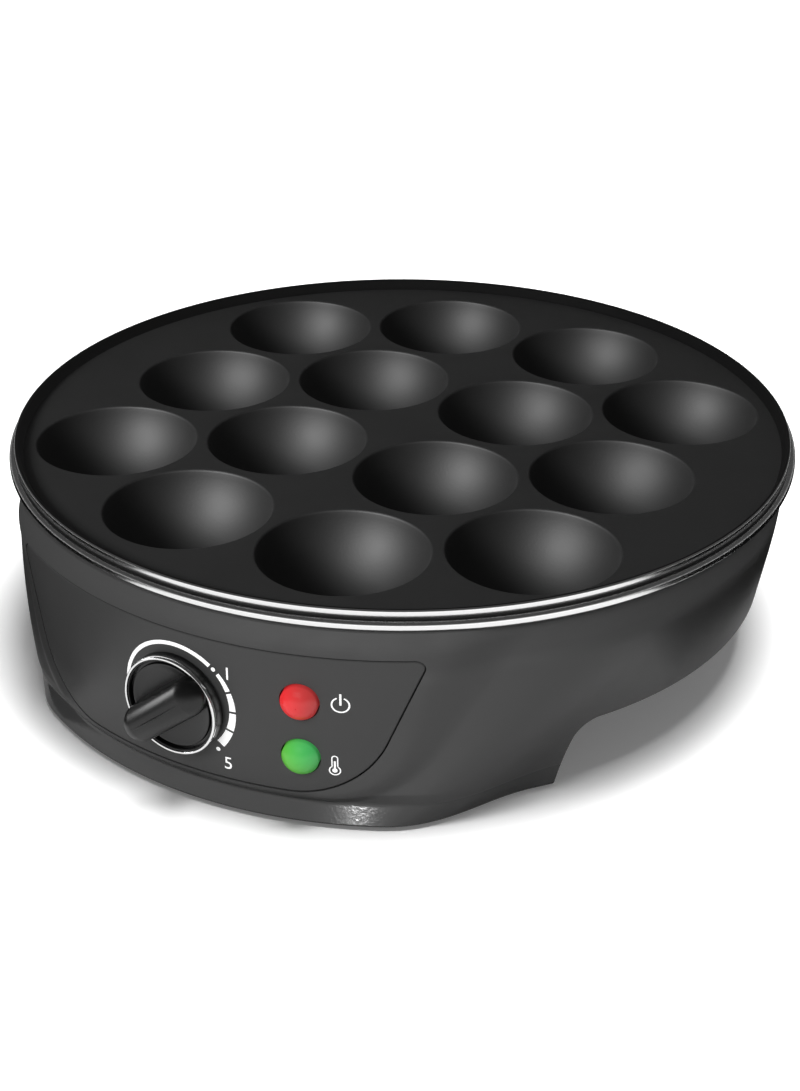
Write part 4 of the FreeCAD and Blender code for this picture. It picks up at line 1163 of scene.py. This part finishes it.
def light_sky(stage):
    """Sky that shows a bright horizon in gloss, brightest in front, and is even for all other light."""
    world = bpy.data.worlds.new("sky")
    bpy.context.scene.world = world
    world.use_nodes = True
    tree = world.node_tree
    place = add_node(tree, "TexCoord", out="Generated")
    front = add_node(tree, "VectorMath", {0: place, 1: aim(27, 0)}, "Value", operation="DOT_PRODUCT")
    horizon = ramp(tree, front, 0.1, 0.8, 0.25, kind="SMOOTHSTEP")
    height = add_node(tree, "SeparateXYZ", {0: place}, "Z")
    gloss = ramp(tree, height, 0, math.sin(math.radians(20)), horizon, stage.overhead, "SMOOTHSTEP")
    strength = mix(tree, seen_rays(tree), stage.sky, gloss)
    fill(tree, tree.nodes["Background"], {"Color": WHITE, "Strength": strength})


class COOKER_OT_stage(bpy.types.Operator):
    """Set up the floor, the lights, the sky and the camera"""
    bl_idname = "cooker.stage"
    bl_label = "Studio"

    def execute(self, context):
        stage = context.scene.cooker_stage
        data = bpy.data.cameras.new("camera")
        data.sensor_fit = "VERTICAL"
        data.sensor_height = 36.0
        data.lens = stage.lens
        data.clip_start = 0.01
        data.shift_x, data.shift_y = stage.shift
        camera = add_object("camera", data)
        camera.location = Vector(stage.eye) + Vector((0, AXIS_Y, 0))
        camera.rotation_euler = (stage.tilt, stage.roll, stage.heading)
        context.scene.camera = camera

        mesh = bpy.data.meshes.new("floor")
        corners = [(-6, -6, 0), (6, -6, 0), (6, 6, 0), (-6, 6, 0)]
        mesh.from_pydata(corners, [], [(0, 1, 2, 3)])
        mesh.materials.append(backdrop_material())
        add_object("floor", mesh)

        black, tree, shader = new_material("card_black")
        fill(tree, shader, {"Base Color": (0.004, 0.004, 0.004, 1), **DULL})
        floor_card("card_left", -138, -28, black)
        floor_card("card_right", 82, 200, black)

        target = Vector((0, AXIS_Y, 0.03))
        dial = ["dial", "dial_ring"]
        for name, turn, height, size, hidden_from, only in (
                ("key", 6, 40, (0.7, 0.5), "glossy", None),
                ("rear", 190, 35, (0.7, 0.5), "glossy", None),
                ("glint", -16, 30, (0.4, 0.3), "diffuse", ["plate"]),
                ("gleam", -60, 14, (0.5, 0.3), "diffuse", dial),
                ("over", 118, 84, (0.5, 0.5), "glossy", ["floor"]),
                ("streak", 18.5, 16, (0.08, 0.45), "diffuse", ["shell"]),
                ("edge", 88, 58, (0.4, 0.4), "diffuse", ["shell"])):
            lamp = area_light(name, getattr(stage, name), target + aim(turn, height) * 1.1, target, size,
                              hidden_from, only)
            if name == "over":
                lamp.light_linking.blocker_collection = link_group("no_floor_shadow", dial, "EXCLUDE")
        light_sky(stage)
        context.scene.view_settings.view_transform = "Standard"
        return {"FINISHED"}


# --- Add-on ---

OPERATORS = [COOKER_OT_plate, COOKER_OT_rim, COOKER_OT_housing, COOKER_OT_panel, COOKER_OT_marks,
             COOKER_OT_dial, COOKER_OT_lamps, COOKER_OT_inside, COOKER_OT_stage]


class COOKER_PT_panel(bpy.types.Panel):
    """Buttons and sizes of the cooker"""
    bl_idname = "COOKER_PT_panel"
    bl_label = "Takoyaki Maker"
    bl_space_type = "VIEW_3D"
    bl_region_type = "UI"
    bl_category = "Cooker"

    def draw(self, context):
        for operator in OPERATORS:
            self.layout.operator(operator.bl_idname)
        for name, group in SETTINGS.items():
            box = self.layout.box()
            for key in group.__annotations__:
                box.prop(getattr(context.scene, name), key, text=key.replace("_", " ").capitalize())


def register():
    """Register the settings, the operators and the panel."""
    for name, group in SETTINGS.items():
        bpy.utils.register_class(group)
        setattr(bpy.types.Scene, name, PointerProperty(type=group))
    for operator in OPERATORS:
        bpy.utils.register_class(operator)
    bpy.utils.register_class(COOKER_PT_panel)


def unregister():
    """Undo register."""
    bpy.utils.unregister_class(COOKER_PT_panel)
    for operator in reversed(OPERATORS):
        bpy.utils.unregister_class(operator)
    for name, group in SETTINGS.items():
        delattr(bpy.types.Scene, name)
        bpy.utils.unregister_class(group)


def main():
    """Build everything in order."""
    register()
    for operator in OPERATORS:
        getattr(bpy.ops.cooker, operator.bl_idname.split(".")[1])()
    bpy.context.view_layer.update()


if __name__ == "__main__":
    main()
